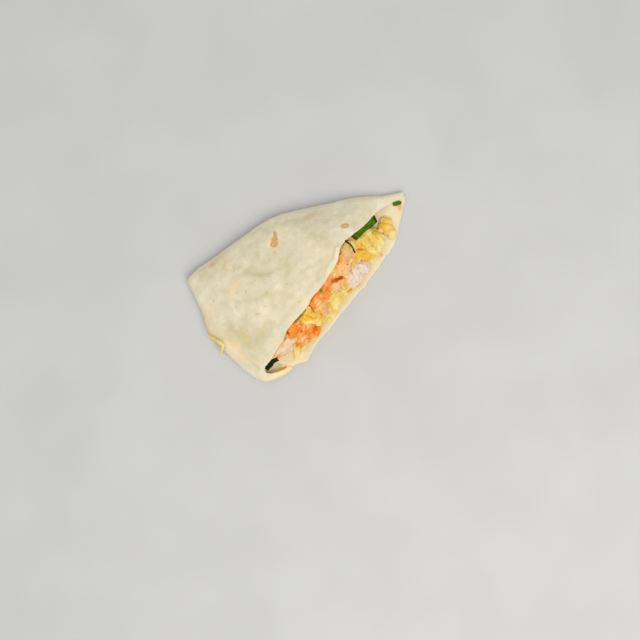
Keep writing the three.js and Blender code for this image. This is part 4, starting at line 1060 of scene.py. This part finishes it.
# Torn strands along each piece of the meat, as pixels of the photograph: width in mm, and line.
STRANDS = {
    1: [
        (2.6, [(341, 248), (345, 253), (348, 259)]), (2.2, [(344, 245.5), (347.5, 250), (350.5, 256)]),
        (2.4, [(352, 257), (348, 265), (342, 273)]), (2.2, [(347, 258), (342, 264), (336, 270)]),
        (1.8, [(343, 263), (338, 268), (333, 273)]), (2.2, [(350, 262), (347, 270), (343, 275)]),
    ],
    2: [
        (2.6, [(358, 265), (364, 266), (367, 271)]), (2.4, [(354, 266), (360, 270), (364, 276)]),
        (2.6, [(351, 269), (356, 276), (358, 283)]), (2.6, [(348, 272), (352, 279), (354, 286)]),
        (2.2, [(346, 276), (348, 281), (349, 285)]), (2.2, [(355, 271), (361, 277), (360, 283)]),
    ],
    3: [
        (2.4, [(333, 280), (339, 280), (345, 278)]), (2.4, [(334, 284), (339, 283), (344, 281)]),
        (2.2, [(334, 288), (337, 287), (340, 285)]), (2.4, [(334.5, 281), (335, 285), (335.5, 290)]),
        (2.4, [(339, 280), (338.5, 284), (337, 289)]), (2, [(343, 280), (341, 283), (338, 286)]),
        (2, [(333, 283), (333, 287), (334, 291)]),
    ],
    4: [
        (2.4, [(329, 275), (324, 284), (318, 293)]), (2.4, [(331, 280), (327, 289), (322, 297)]),
        (2.2, [(331, 287), (328, 296), (325, 304)]), (2.4, [(318, 294), (313, 301), (311, 307)]),
        (2.2, [(320, 297), (317, 304), (316, 310)]), (2.4, [(324, 298), (322, 305), (320, 311)]),
        (2.2, [(327, 300), (325.5, 306), (324, 312)]), (2.6, [(316.5, 287.5), (312, 293), (308.4, 299)]),
    ],
    5: [
        (2, [(324, 303), (323, 308), (322, 312)]),
    ],
    6: [
        (2.2, [(300, 322), (296, 329), (291, 337)]), (2, [(302, 325), (300, 331), (296, 337)]),
        (2, [(295, 326), (291, 331), (288.5, 335)]), (2.8, [(295.6, 323), (291.8, 328.4), (288.6, 333)]),
    ],
    7: [
        (2.4, [(295.5, 346), (300, 338), (304, 331)]), (2.2, [(304, 331), (309, 325.5), (314, 324)]),
        (2.6, [(313, 324), (318.5, 327), (319.5, 334)]), (2.2, [(319, 333), (314, 337.5), (308, 340)]),
        (2.4, [(309, 339), (304, 343), (299, 346)]), (1.8, [(308, 330), (305, 335), (301, 341)]),
    ],
    8: [
        (2.4, [(295, 338), (288, 345), (281, 352)]), (2.2, [(291, 337), (284, 344), (278, 351)]),
        (2.6, [(284.6, 337), (280.4, 343), (276.6, 349.4)]),
        (2.4, [(280, 348), (276.6, 352.4), (273.8, 356)]),
    ],
}
CALM = {2: 0.3, 3: 0.6, 8: 0.5}  # how ragged the smoother pieces are, where the others are 1
FIBRES_PER_AREA = 0.12  # on a square mm
FAR_TONE, FAR_WEIGHT = (0.4, 0.0, 0.0), 0.02  # soak, tan and dark far from every place of MEAT_TONES
MEAT_VOXEL, CHEESE_VOXEL = 0.26, 0.36
SCATTERED_STRIPS = 46
HIDDEN_FROM_Y, HIDDEN_SHARE = -16, 0.55  # behind this y the cheese keeps this share of its faces
LOWEST = (-math.inf, -math.inf, 0.05)  # no cheese goes below this height
FRONT_DEPTHS = (15, 22)  # values of -y between which its relief sets in
GRAIN_STRETCH = np.array([0.4, 1.0, 1.0])  # flakes of the meat are longer along its grain

# Clefts in the meat, as pixels of the photograph: depth, half width in mm, and line.
CLEFTS = [
    (0.9, 0.6, [(354, 264.6), (359.5, 268.6), (366, 274.5)]),
    (0.5, 0.5, [(350, 270), (354, 277), (352, 285)]), (0.4, 0.5, [(361, 277), (357, 283)]),
    (0.4, 0.5, [(343, 250), (347, 256), (348, 264)]), (0.5, 0.5, [(350, 258), (345, 268), (338, 274)]),
    (0.5, 0.6, [(326, 284), (320, 292), (313, 303)]), (0.5, 0.5, [(330, 290), (325, 298), (318, 306)]),
    (0.8, 0.6, [(307, 305), (309, 308), (313, 311)]), (0.9, 0.7, [(315, 327.5), (315, 330), (312, 333)]),
    (0.8, 0.6, [(307, 331), (303, 336), (299.5, 341)]), (0.5, 0.5, [(298, 326), (295, 331), (292, 338)]),
    (0.4, 0.5, [(292, 338), (286, 345), (279, 352)]),
]


def spots_seen(points, spots, ground):
    """How near each point is to spots of the photograph: right, down, half length and half width, mm."""
    total = np.zeros(len(points))
    turn = np.array(Matrix.Rotation(PHOTO_TURN, 3, "Z"))
    for spot, _, long, wide in ground.found(spots):
        gap = (points - spot) @ turn / np.array([long, wide, long + wide])
        total = np.maximum(total, falloff(np.linalg.norm(gap, axis=1)))
    return total


def lines_seen(points, rows, ground):
    """How near each point is to lines of the photograph: each row's strength, half width and pixels."""
    total = np.zeros(len(points))
    for strength, wide, pixels in rows:
        line = [spot for spot, _ in ground.found(pixels)]
        if len(line) > 1:
            total = np.maximum(total, strength * np.exp(-(gap_to_line(points, line) / wide) ** 2))
    return total


def meat_tones(points, ground):
    """Soak, tan and dark at each point, from the places of MEAT_TONES around it."""
    weights = np.full(len(points), FAR_WEIGHT)
    sums = weights[:, None] * np.array(FAR_TONE)
    wander = points + 0.5 * np.stack([fractal(points, 2.0, 2, k) for k in (1.0, 2.0, 3.0)], 1)
    for spot, _, reach, *tones in ground.found(MEAT_TONES):
        weight = np.exp(-(np.linalg.norm(wander - spot, axis=1) / reach) ** 2) / reach
        weights += weight
        sums += weight[:, None] * np.array([*tones, 0.0, 0.0][:3])
    return (sums / weights[:, None]).T


def roughened(obj, inflate, detail, size, seed, where=1.0):
    """Moves the surface out by inflate, and by ragged noise; gives back how hollow each point is, for
    painted shade in hollows and painted light on raised parts.
    """
    swell(obj, where * (inflate + detail * fractal(coordinates(obj), size, octaves=3, seed=seed)))
    set_coordinates(obj, np.maximum(coordinates(obj), LOWEST))
    return np.clip(0.5 - 1.3 * relief(obj), 0, 1)


def set_cheese(obj, tone, hollow, stain=0.0, herb=0.0):
    looks = {"tone": tone, "hollow": hollow, "stain": stain, "herb": herb}
    set_attributes(obj, **{name: np.clip(values, -0.2, 1.2) for name, values in looks.items()})


def lay_cheese(bundle, solid, meat):
    """The strips, shreds and lumps of cheese that show, and scattered ones between them."""
    sheet = frame["nodes"]["tortilla"]
    on_food, on_all, on_solid = Ground([solid, sheet]), Ground([solid, sheet, *meat]), Ground([solid])
    for pixels in STRIPS_SEEN:
        laid_strip(bundle, on_food.seen, pixels, rng.uniform(1.7, 2.3), rng.uniform(0.9, 1.2), lift=0.3)
    for width, pixels in HANGING_SHREDS:
        laid_strip(bundle, on_all.seen, pixels, width, thickness=1.2, lift=0.5)
    for k, (spot, facing, radius, height) in enumerate(on_all.found(LUMPS_SEEN)):
        crumb(bundle, spot - facing * 0.35 * radius, (radius, 0.85 * radius, height * radius), seed=k)
    for _ in range(SCATTERED_STRIPS):
        x, y = rng.uniform(-44, 40), rng.uniform(-34, -24)
        angle, reach = rng.uniform(0, math.pi), rng.uniform(1.6, 3.4)
        dx, dy = math.cos(angle) * reach, math.sin(angle) * reach
        bend = rng.uniform(-0.9, 0.9)
        places = [(x - dx, y - dy), (x + bend, y + bend), (x + dx, y + dy)]
        laid_strip(bundle, on_solid.on_slope, places, rng.uniform(1.3, 2.1), thickness=1.0, lift=0.1)
    return on_all


def build_cheese(material):
    solid = copy_of_node("cheese_filling", "melted_cheese")
    bundle = Bundle()
    ground = lay_cheese(bundle, solid, [frame["nodes"][node] for node in CHICKEN])
    cheese = joined("melted_cheese", [solid, bundle.build("strips")])
    voxel_remesh(cheese, CHEESE_VOXEL, smoothing=3)
    thinned(cheese, coordinates(cheese)[:, 1] > HIDDEN_FROM_Y, HIDDEN_SHARE)
    points = coordinates(cheese)
    front = smoothstep(-points[:, 1], *FRONT_DEPTHS) * (1 - lines_seen(points, LEAF_BED, ground))
    swell(cheese, front * flakes(points, size=3.4, tilt=0.1, cleft=0.06, seed=21))
    # Painted shade in the cheese's hollows and painted light on its raised parts, from its relief.
    hollow = roughened(cheese, inflate=0.3, detail=0.12, size=2.2, seed=1.0, where=front)
    smoothed(cheese, 2)
    points = coordinates(cheese)
    yellow_lines = [(YELLOW_DEPTH, YELLOW_WIDTH, pixels) for pixels in YELLOW_LINES]
    tone = 0.6 + 0.3 * fractal(points, size=4.0, octaves=2, seed=5.0)
    tone += 0.7 * spots_seen(points, PALE_YELLOW, ground)
    tone -= spots_seen(points, STRONG_YELLOW, ground) + lines_seen(points, yellow_lines, ground)
    stain, herb = (spots_seen(points, spots, ground) for spots in (STAINS, HERB_TINT))
    set_cheese(cheese, tone, hollow, stain, herb)
    finish_piece(cheese, material, "cheese", "cheese_filling")
    return cheese


def fibre_lumps(meat, grain, seed, per_area):
    """Long thin lumps scattered over a piece of meat along its grain."""
    chance, bundle = random.Random(seed), Bundle()
    sink, droop = 0.1, 0.35
    polygons = list(meat.data.polygons)
    areas = [poly.area / MM ** 2 for poly in polygons]
    for poly in chance.choices(polygons, weights=areas, k=int(per_area * sum(areas))):
        facing = np.array(poly.normal)
        way = grain - facing * (grain @ facing) + np.array([chance.uniform(-0.3, 0.3) for _ in range(3)])
        way /= np.linalg.norm(way)
        centre = np.array(poly.center) / MM - facing * sink
        reach = chance.uniform(1.4, 3.0)
        line = [centre - way * reach - facing * droop, centre, centre + way * reach - facing * droop]
        width, thickness = chance.uniform(0.9, 1.8), chance.uniform(0.7, 1.1)
        bundle.add(*strip_mesh(line, [facing] * 3, width, thickness, sides=6))
    return bundle.build("fibres")


def strands(number, ground):
    """The torn strands that lie along one piece of meat."""
    bundle = Bundle()
    for width, pixels in STRANDS[number]:
        laid_strip(bundle, ground.seen, pixels, width, thickness=0.75 * width, lift=0.1)
    return bundle.build("strands")


def turned(turn, pitch, roll):
    """The matrix of turns about X, Y and Z, in that order, from degrees."""
    spin = Matrix.Identity(3)
    for angle, axis in ((turn, "Z"), (pitch, "Y"), (roll, "X")):
        spin = spin @ Matrix.Rotation(math.radians(angle), 3, axis)
    return np.array(spin)


def build_meat(meat, node, ground, material, slot):
    """One torn piece of chicken, with fibres along its length."""
    number = int(node[-1])
    at, angles = CHICKEN[node]
    spin, ragged = turned(*angles), CALM.get(number, 1.0)
    fibres = fibre_lumps(meat, spin[:, 0], number, FIBRES_PER_AREA * ragged)
    meat = joined(f"meat_{number}", [meat, fibres, strands(number, ground)])
    voxel_remesh(meat, MEAT_VOXEL, smoothing=2)
    points = coordinates(meat)
    local = (points - ORIGIN_SHIFT - np.array(at)) @ spin
    stretched = local * GRAIN_STRETCH
    torn = flakes(stretched, size=2.8, tilt=0.2, cleft=0.14, seed=number)
    torn += 0.07 * fractal(stretched * 1.6, size=1.8, octaves=2, seed=number)
    swell(meat, 0.1 + ragged * torn - lines_seen(points, CLEFTS, ground))
    smoothed(meat, 2)
    soak, tan, dark = meat_tones(points, ground)
    # Painted shade in the meat's hollows and painted light on its ridges, from its relief.
    hollow = np.clip(0.5 - relief(meat), 0, 1)
    set_attributes(meat, grain=local * MM, soak=soak, tan=tan, dark=dark, hollow=hollow)
    finish_piece(meat, material, slot, node)
    return meat


def build_chicken(material):
    pieces = {node: copy_of_node(node, "meat_" + node[-1]) for node in CHICKEN}
    ground = Ground([*pieces.values(), frame["nodes"]["cheese_filling"]])
    slots = {part["node"]: part["material_slot"] for part in frame["record"]["subparts"]}
    return [build_meat(meat, node, ground, material, slots[node]) for node, meat in pieces.items()]


# Spinach leaves, from the stations' own origin: line, spread at its start and its end, wave height,
# breadth of the tips, seed, and how bright, olive or shaded they are.
SPINACH = {
    "spinach_leaf_1": ([(27.4, -18.8, 19.6), (34, -19.5, 15.8), (40, -20.6, 11.5), (46, -21.4, 7.4)],
                       (0.2, -3.2, -2.6), (-2.2, -4, -2.7), 0.25, 0.85, 0.4, (1, 0, 0)),
    "spinach_leaf_3": ([(-19.6, -22.6, 22), (-24.4, -22.8, 21.7), (-29, -22.4, 21.1)],
                       (0.2, 3.4, -0.6), (0.2, 3.4, -0.6), 0.15, 0.7, 2.6, (0.2, 1, 0)),
    "spinach_leaf_4": ([(-60, -25.4, 6.4), (-57, -25.9, 7.9), (-54.4, -26.1, 9.4), (-51.4, -27, 9.3)],
                       (0.6, 3.8, 1.9), (1.4, 4.4, 2), 0.3, 0.6, 3.3, (0, 0, 1)),
}
# The leaf whose edge shows as a thin dark curve, as pixels of the photograph.
LEAF_EDGE_SEEN = [(345, 240.6), (347.6, 243.2), (350.6, 246.2), (353, 249.4), (354.8, 252.6)]
LEAF_THICKNESS, LEAF_ROWS, LEAF_COLUMNS = 0.4, 64, 22
EDGE_LEAF_THICKNESS, EDGE_LEAF_RISE, EDGE_LEAF_DEPTH = 1.05, 0.45, (0.3, 1.6, -2.6)


def leaf_grids(line, spread, end_spread, wave, tip, seed, thickness=LEAF_THICKNESS):
    """Upper and lower faces of a wavy leaf, and each vertex's place along and across it."""
    t, j = np.linspace(0, 1, LEAF_ROWS)[:, None], np.linspace(0, 1, LEAF_COLUMNS)[None]
    centre = centripetal(line, t[:, 0])
    across = lerp(np.array(spread, float), np.array(end_spread, float), t[..., None])
    along = centre[-1] - centre[0]
    along /= np.linalg.norm(along)
    normal = np.cross(across, along)
    normal /= np.linalg.norm(normal, axis=-1)[..., None]
    u = j * lerp(tip, 1, np.sin(np.pi * np.clip(t, 0.02, 0.98)) ** 0.6)
    waves = wave * np.sin(5.5 * t + 2.1 * u + seed) * (0.3 + u)
    frill = 0.12 * np.sin(15 * t + 3 * seed) * np.abs(2 * j - 1) ** 2
    ragged = 0.05 * np.sin(11 * t + seed) + 0.03 * np.sin(27 * t + 2 * seed)
    middle = centre[:, None] + normal * (waves + frill)[..., None]
    middle += across * (u + ragged * (j - 0.5))[..., None]
    half = normal * (0.5 * thickness * (1 - 0.6 * np.abs(2 * j - 1) ** 4))[..., None]
    place = np.stack(np.broadcast_arrays(t, j - 0.5, 0 * u), -1)
    return middle + half, middle - half, both_faces(place, place).reshape(-1, 3)


def build_spinach(material, ground):
    for node, (line, spread, end_spread, wave, tip, seed, looks) in SPINACH.items():
        upper, lower, place = leaf_grids(line, spread, end_spread, wave, tip, seed)
        leaf = grid_sheet("leaf_" + node[-1], upper + ORIGIN_SHIFT, lower + ORIGIN_SHIFT)
        bright, olive, shade = looks
        far, side = place[:, 0], place[:, 1] + 0.5
        ends = np.maximum(smoothstep(far, 0.9, 0.97), 0.6 * (1 - smoothstep(far, 0.02, 0.1)))
        edges = np.maximum(0.5 - 0.5 * smoothstep(side, 0.0, 0.12), ends) * bright
        bright = bright * smoothstep(side, -0.2, 0.4) * (1 - ends)
        set_attributes(leaf, leaf=place, bright=bright, olive=olive, shade=np.maximum(shade, edges))
        finish_piece(leaf, material, "spinach", node)
    build_edge_leaf(material, ground)


def build_edge_leaf(material, ground):
    """The leaf that stands on edge between the meat and the cheese."""
    line = [spot + facing * EDGE_LEAF_RISE for spot, facing in ground.found(LEAF_EDGE_SEEN)]
    depth, thickness = EDGE_LEAF_DEPTH, EDGE_LEAF_THICKNESS
    upper, lower, place = leaf_grids(line, depth, depth, wave=0.1, tip=0.8, seed=1.9, thickness=thickness)
    leaf = grid_sheet("leaf_2", upper, lower)
    set_attributes(leaf, leaf=place, bright=0.0, olive=0.0, shade=0.75)
    finish_piece(leaf, material, "spinach", "spinach_leaf_2")


# Shreds of the clump by the tip, as pixels of the photograph: width in mm, and line.
CLUMP_SHREDS_SEEN = [
    (2.2, [(384, 221.4), (388, 220.8), (392, 221)]), (2.8, [(377.5, 226.5), (384, 226.5), (391, 226.8)]),
    (2.6, [(384, 232), (390, 232.4), (396.5, 232)]), (2, [(378, 230), (382, 231.2), (386, 230.6)]),
]
CLUMP_CLOSING = 0.35  # swelling that closes the gaps between the shreds, taken off again afterwards
CLUMP_VOXELS, SHRED_VOXEL = (0.3, 0.26), 0.2
PALE_CLUMP = [(392, 237.5, 2.6, 2.0), (381, 231, 1.6, 1.0)]  # right, down, half length, half width in mm
FLECK_LINE = [(57.6, -26.3, 2.7), (59.6, -28.0, 2.75), (61.6, -29.4, 2.6)]
FLECK_WIDTH, FLECK_THICKNESS = 2.3, 0.6
SPECK_SEEN, SPECK_HALF = (320.2, 290), (1.0, 1.5, 0.5)  # pixel, and half measures in mm
CRUMBS_SEEN = [(334.5, 274, 0.9), (300.5, 302.5, 0.8)]  # right, down, half length in mm
ON_LEAF = (0.0, 0.5, 0.0)  # a place on a leaf whose look the small green pieces share


def build_clump(material, ground):
    clump = copy_of_node("cheese_clump", "cheese_clump_soft")
    on_clump = Ground([clump, *ground])
    bundle = Bundle()
    for width, pixels in CLUMP_SHREDS_SEEN:
        laid_strip(bundle, on_clump.seen, pixels, width, thickness=1.2, lift=0.15)
    clump = joined("cheese_clump_soft", [clump, bundle.build("shreds")])
    voxel_remesh(clump, CLUMP_VOXELS[0], smoothing=1)
    swell(clump, CLUMP_CLOSING)
    voxel_remesh(clump, CLUMP_VOXELS[1], smoothing=3)
    hollow = roughened(clump, inflate=0.16 - CLUMP_CLOSING, detail=0.08, size=1.6, seed=4.0)
    points = coordinates(clump)
    pale = spots_seen(points, PALE_CLUMP, Ground([clump]))
    tone = 0.55 + 0.3 * fractal(points, size=2.6, octaves=2, seed=3.0) + pale
    # A softened painted shade in the clump's hollows and painted light on its raised parts.
    set_cheese(clump, tone, lerp(0.5, hollow, 0.6), 0.0, 0.6 * pale)
    finish_piece(clump, material, "cheese", "cheese_clump")


def build_stray_shred(material):
    shred = copy_of_node("cheese_shred", "stray_shred")
    voxel_remesh(shred, SHRED_VOXEL, smoothing=3)
    # Painted shade in the shred's hollows and painted light on its raised parts.
    set_cheese(shred, 0.8, 0.45 - relief(shred))
    finish_piece(shred, material, "cheese", "cheese_shred")


def build_flecks(ground, material):
    """The green fleck near the tip, and the green speck by the flap's edge."""
    bundle = Bundle()
    line = np.array(FLECK_LINE) + ORIGIN_SHIFT
    bundle.add(*strip_mesh(line, [(0, 0, 1)] * len(line), FLECK_WIDTH, FLECK_THICKNESS, sides=10))
    fleck = bundle.build("herb_fleck_soft")
    set_attributes(fleck, leaf=ON_LEAF, bright=1.0, olive=0.1, shade=0.0)
    finish_piece(fleck, material, "spinach", "herb_fleck")
    bundle = Bundle()
    spot, facing = ground.seen(*SPECK_SEEN)
    crumb(bundle, spot + facing * 0.3, SPECK_HALF, seed=3.0)
    speck = bundle.build("green_speck")
    set_attributes(speck, leaf=ON_LEAF, bright=1.0, olive=0.75, shade=0.0)
    finish_piece(speck, material, "spinach")


def build_crumbs(ground, material):
    """Pale crumbs on the filling and on the sheet."""
    bundle = Bundle()
    for k, (spot, facing, size) in enumerate(ground.found(CRUMBS_SEEN)):
        crumb(bundle, spot + facing * 0.2, (size, size * 0.8, size * 0.6), seed=k)
    crumbs = bundle.build("pale_crumbs")
    # The crumbs take the painted light of raised parts all over.
    set_cheese(crumbs, 1.0, 0.0)
    finish_piece(crumbs, material, "cheese")


# ------------------------------------------------------------------ the studio
FLOOR_HALF, FLOOR_DROP = 900, 0.02  # mm
# Each light's direction in the photograph (right, up, towards the camera), distance and size in metres,
# power and tint.
LIGHTS = {
    "key": ((0.35, -0.5, 1), 0.9, 0.7, 4.6, (1, 0.985, 0.96)),
    "fill": ((-0.5, 0.5, 1.1), 1, 0.9, 1.3, (0.98, 0.99, 1)),
}
SKY_COLOR, SKY_STRENGTH = (0.95, 0.97, 1.0, 1.0), 0.6


def add_camera():
    camera = in_scene("camera", bpy.data.cameras.new("camera"))
    camera.data.lens = LENS
    camera.data.sensor_width = SENSOR
    camera.location = Vector(CAMERA) * MM
    camera.rotation_euler = (0, 0, PHOTO_TURN)
    bpy.context.scene.camera = camera


def add_light(name, direction, distance, size, power, tint):
    light = in_scene(name, bpy.data.lights.new(name, "AREA"))
    light.data.shape = "DISK"
    light.data.size = size
    light.data.energy = power
    light.data.color = tint
    way = photo_direction(*direction)
    light.location = way * distance
    light.rotation_euler = (-way).to_track_quat("-Z", "Y").to_euler()


def add_studio():
    corners = [(x * FLOOR_HALF, y * FLOOR_HALF, 0) for x, y in ((-1, -1), (1, -1), (1, 1), (-1, 1))]
    floor = make_object("floor", corners, [(0, 1, 2, 3)])
    floor.location.z = -FLOOR_DROP * MM
    floor.data.materials.append(floor_material())
    floor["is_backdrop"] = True
    for name, settings in LIGHTS.items():
        add_light(name, *settings)
    world = bpy.data.worlds.new("studio")
    world.use_nodes = True
    background = world.node_tree.nodes["Background"]
    background.inputs["Color"].default_value = SKY_COLOR
    background.inputs["Strength"].default_value = SKY_STRENGTH
    bpy.context.scene.world = world
    bpy.context.scene.view_settings.view_transform = "Standard"


# ------------------------------------------------------------------ everything together
add_camera()
add_studio()
tortilla = build_tortilla()
cheese_look = cheese_material()
cheese = build_cheese(cheese_look)
chicken = build_chicken(chicken_material())
ground = Ground([tortilla, cheese, *chicken])
spinach_look = spinach_material()
build_spinach(spinach_look, ground)
build_clump(cheese_look, [tortilla, cheese])
build_stray_shred(cheese_look)
build_flecks(ground, spinach_look)
build_crumbs(ground, cheese_look)

bpy.context.view_layer.update()
boxes = {"cad": cad_box, "visual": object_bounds()}
{name: [[float(c) for c in corner] for corner in box] for name, box in boxes.items()}
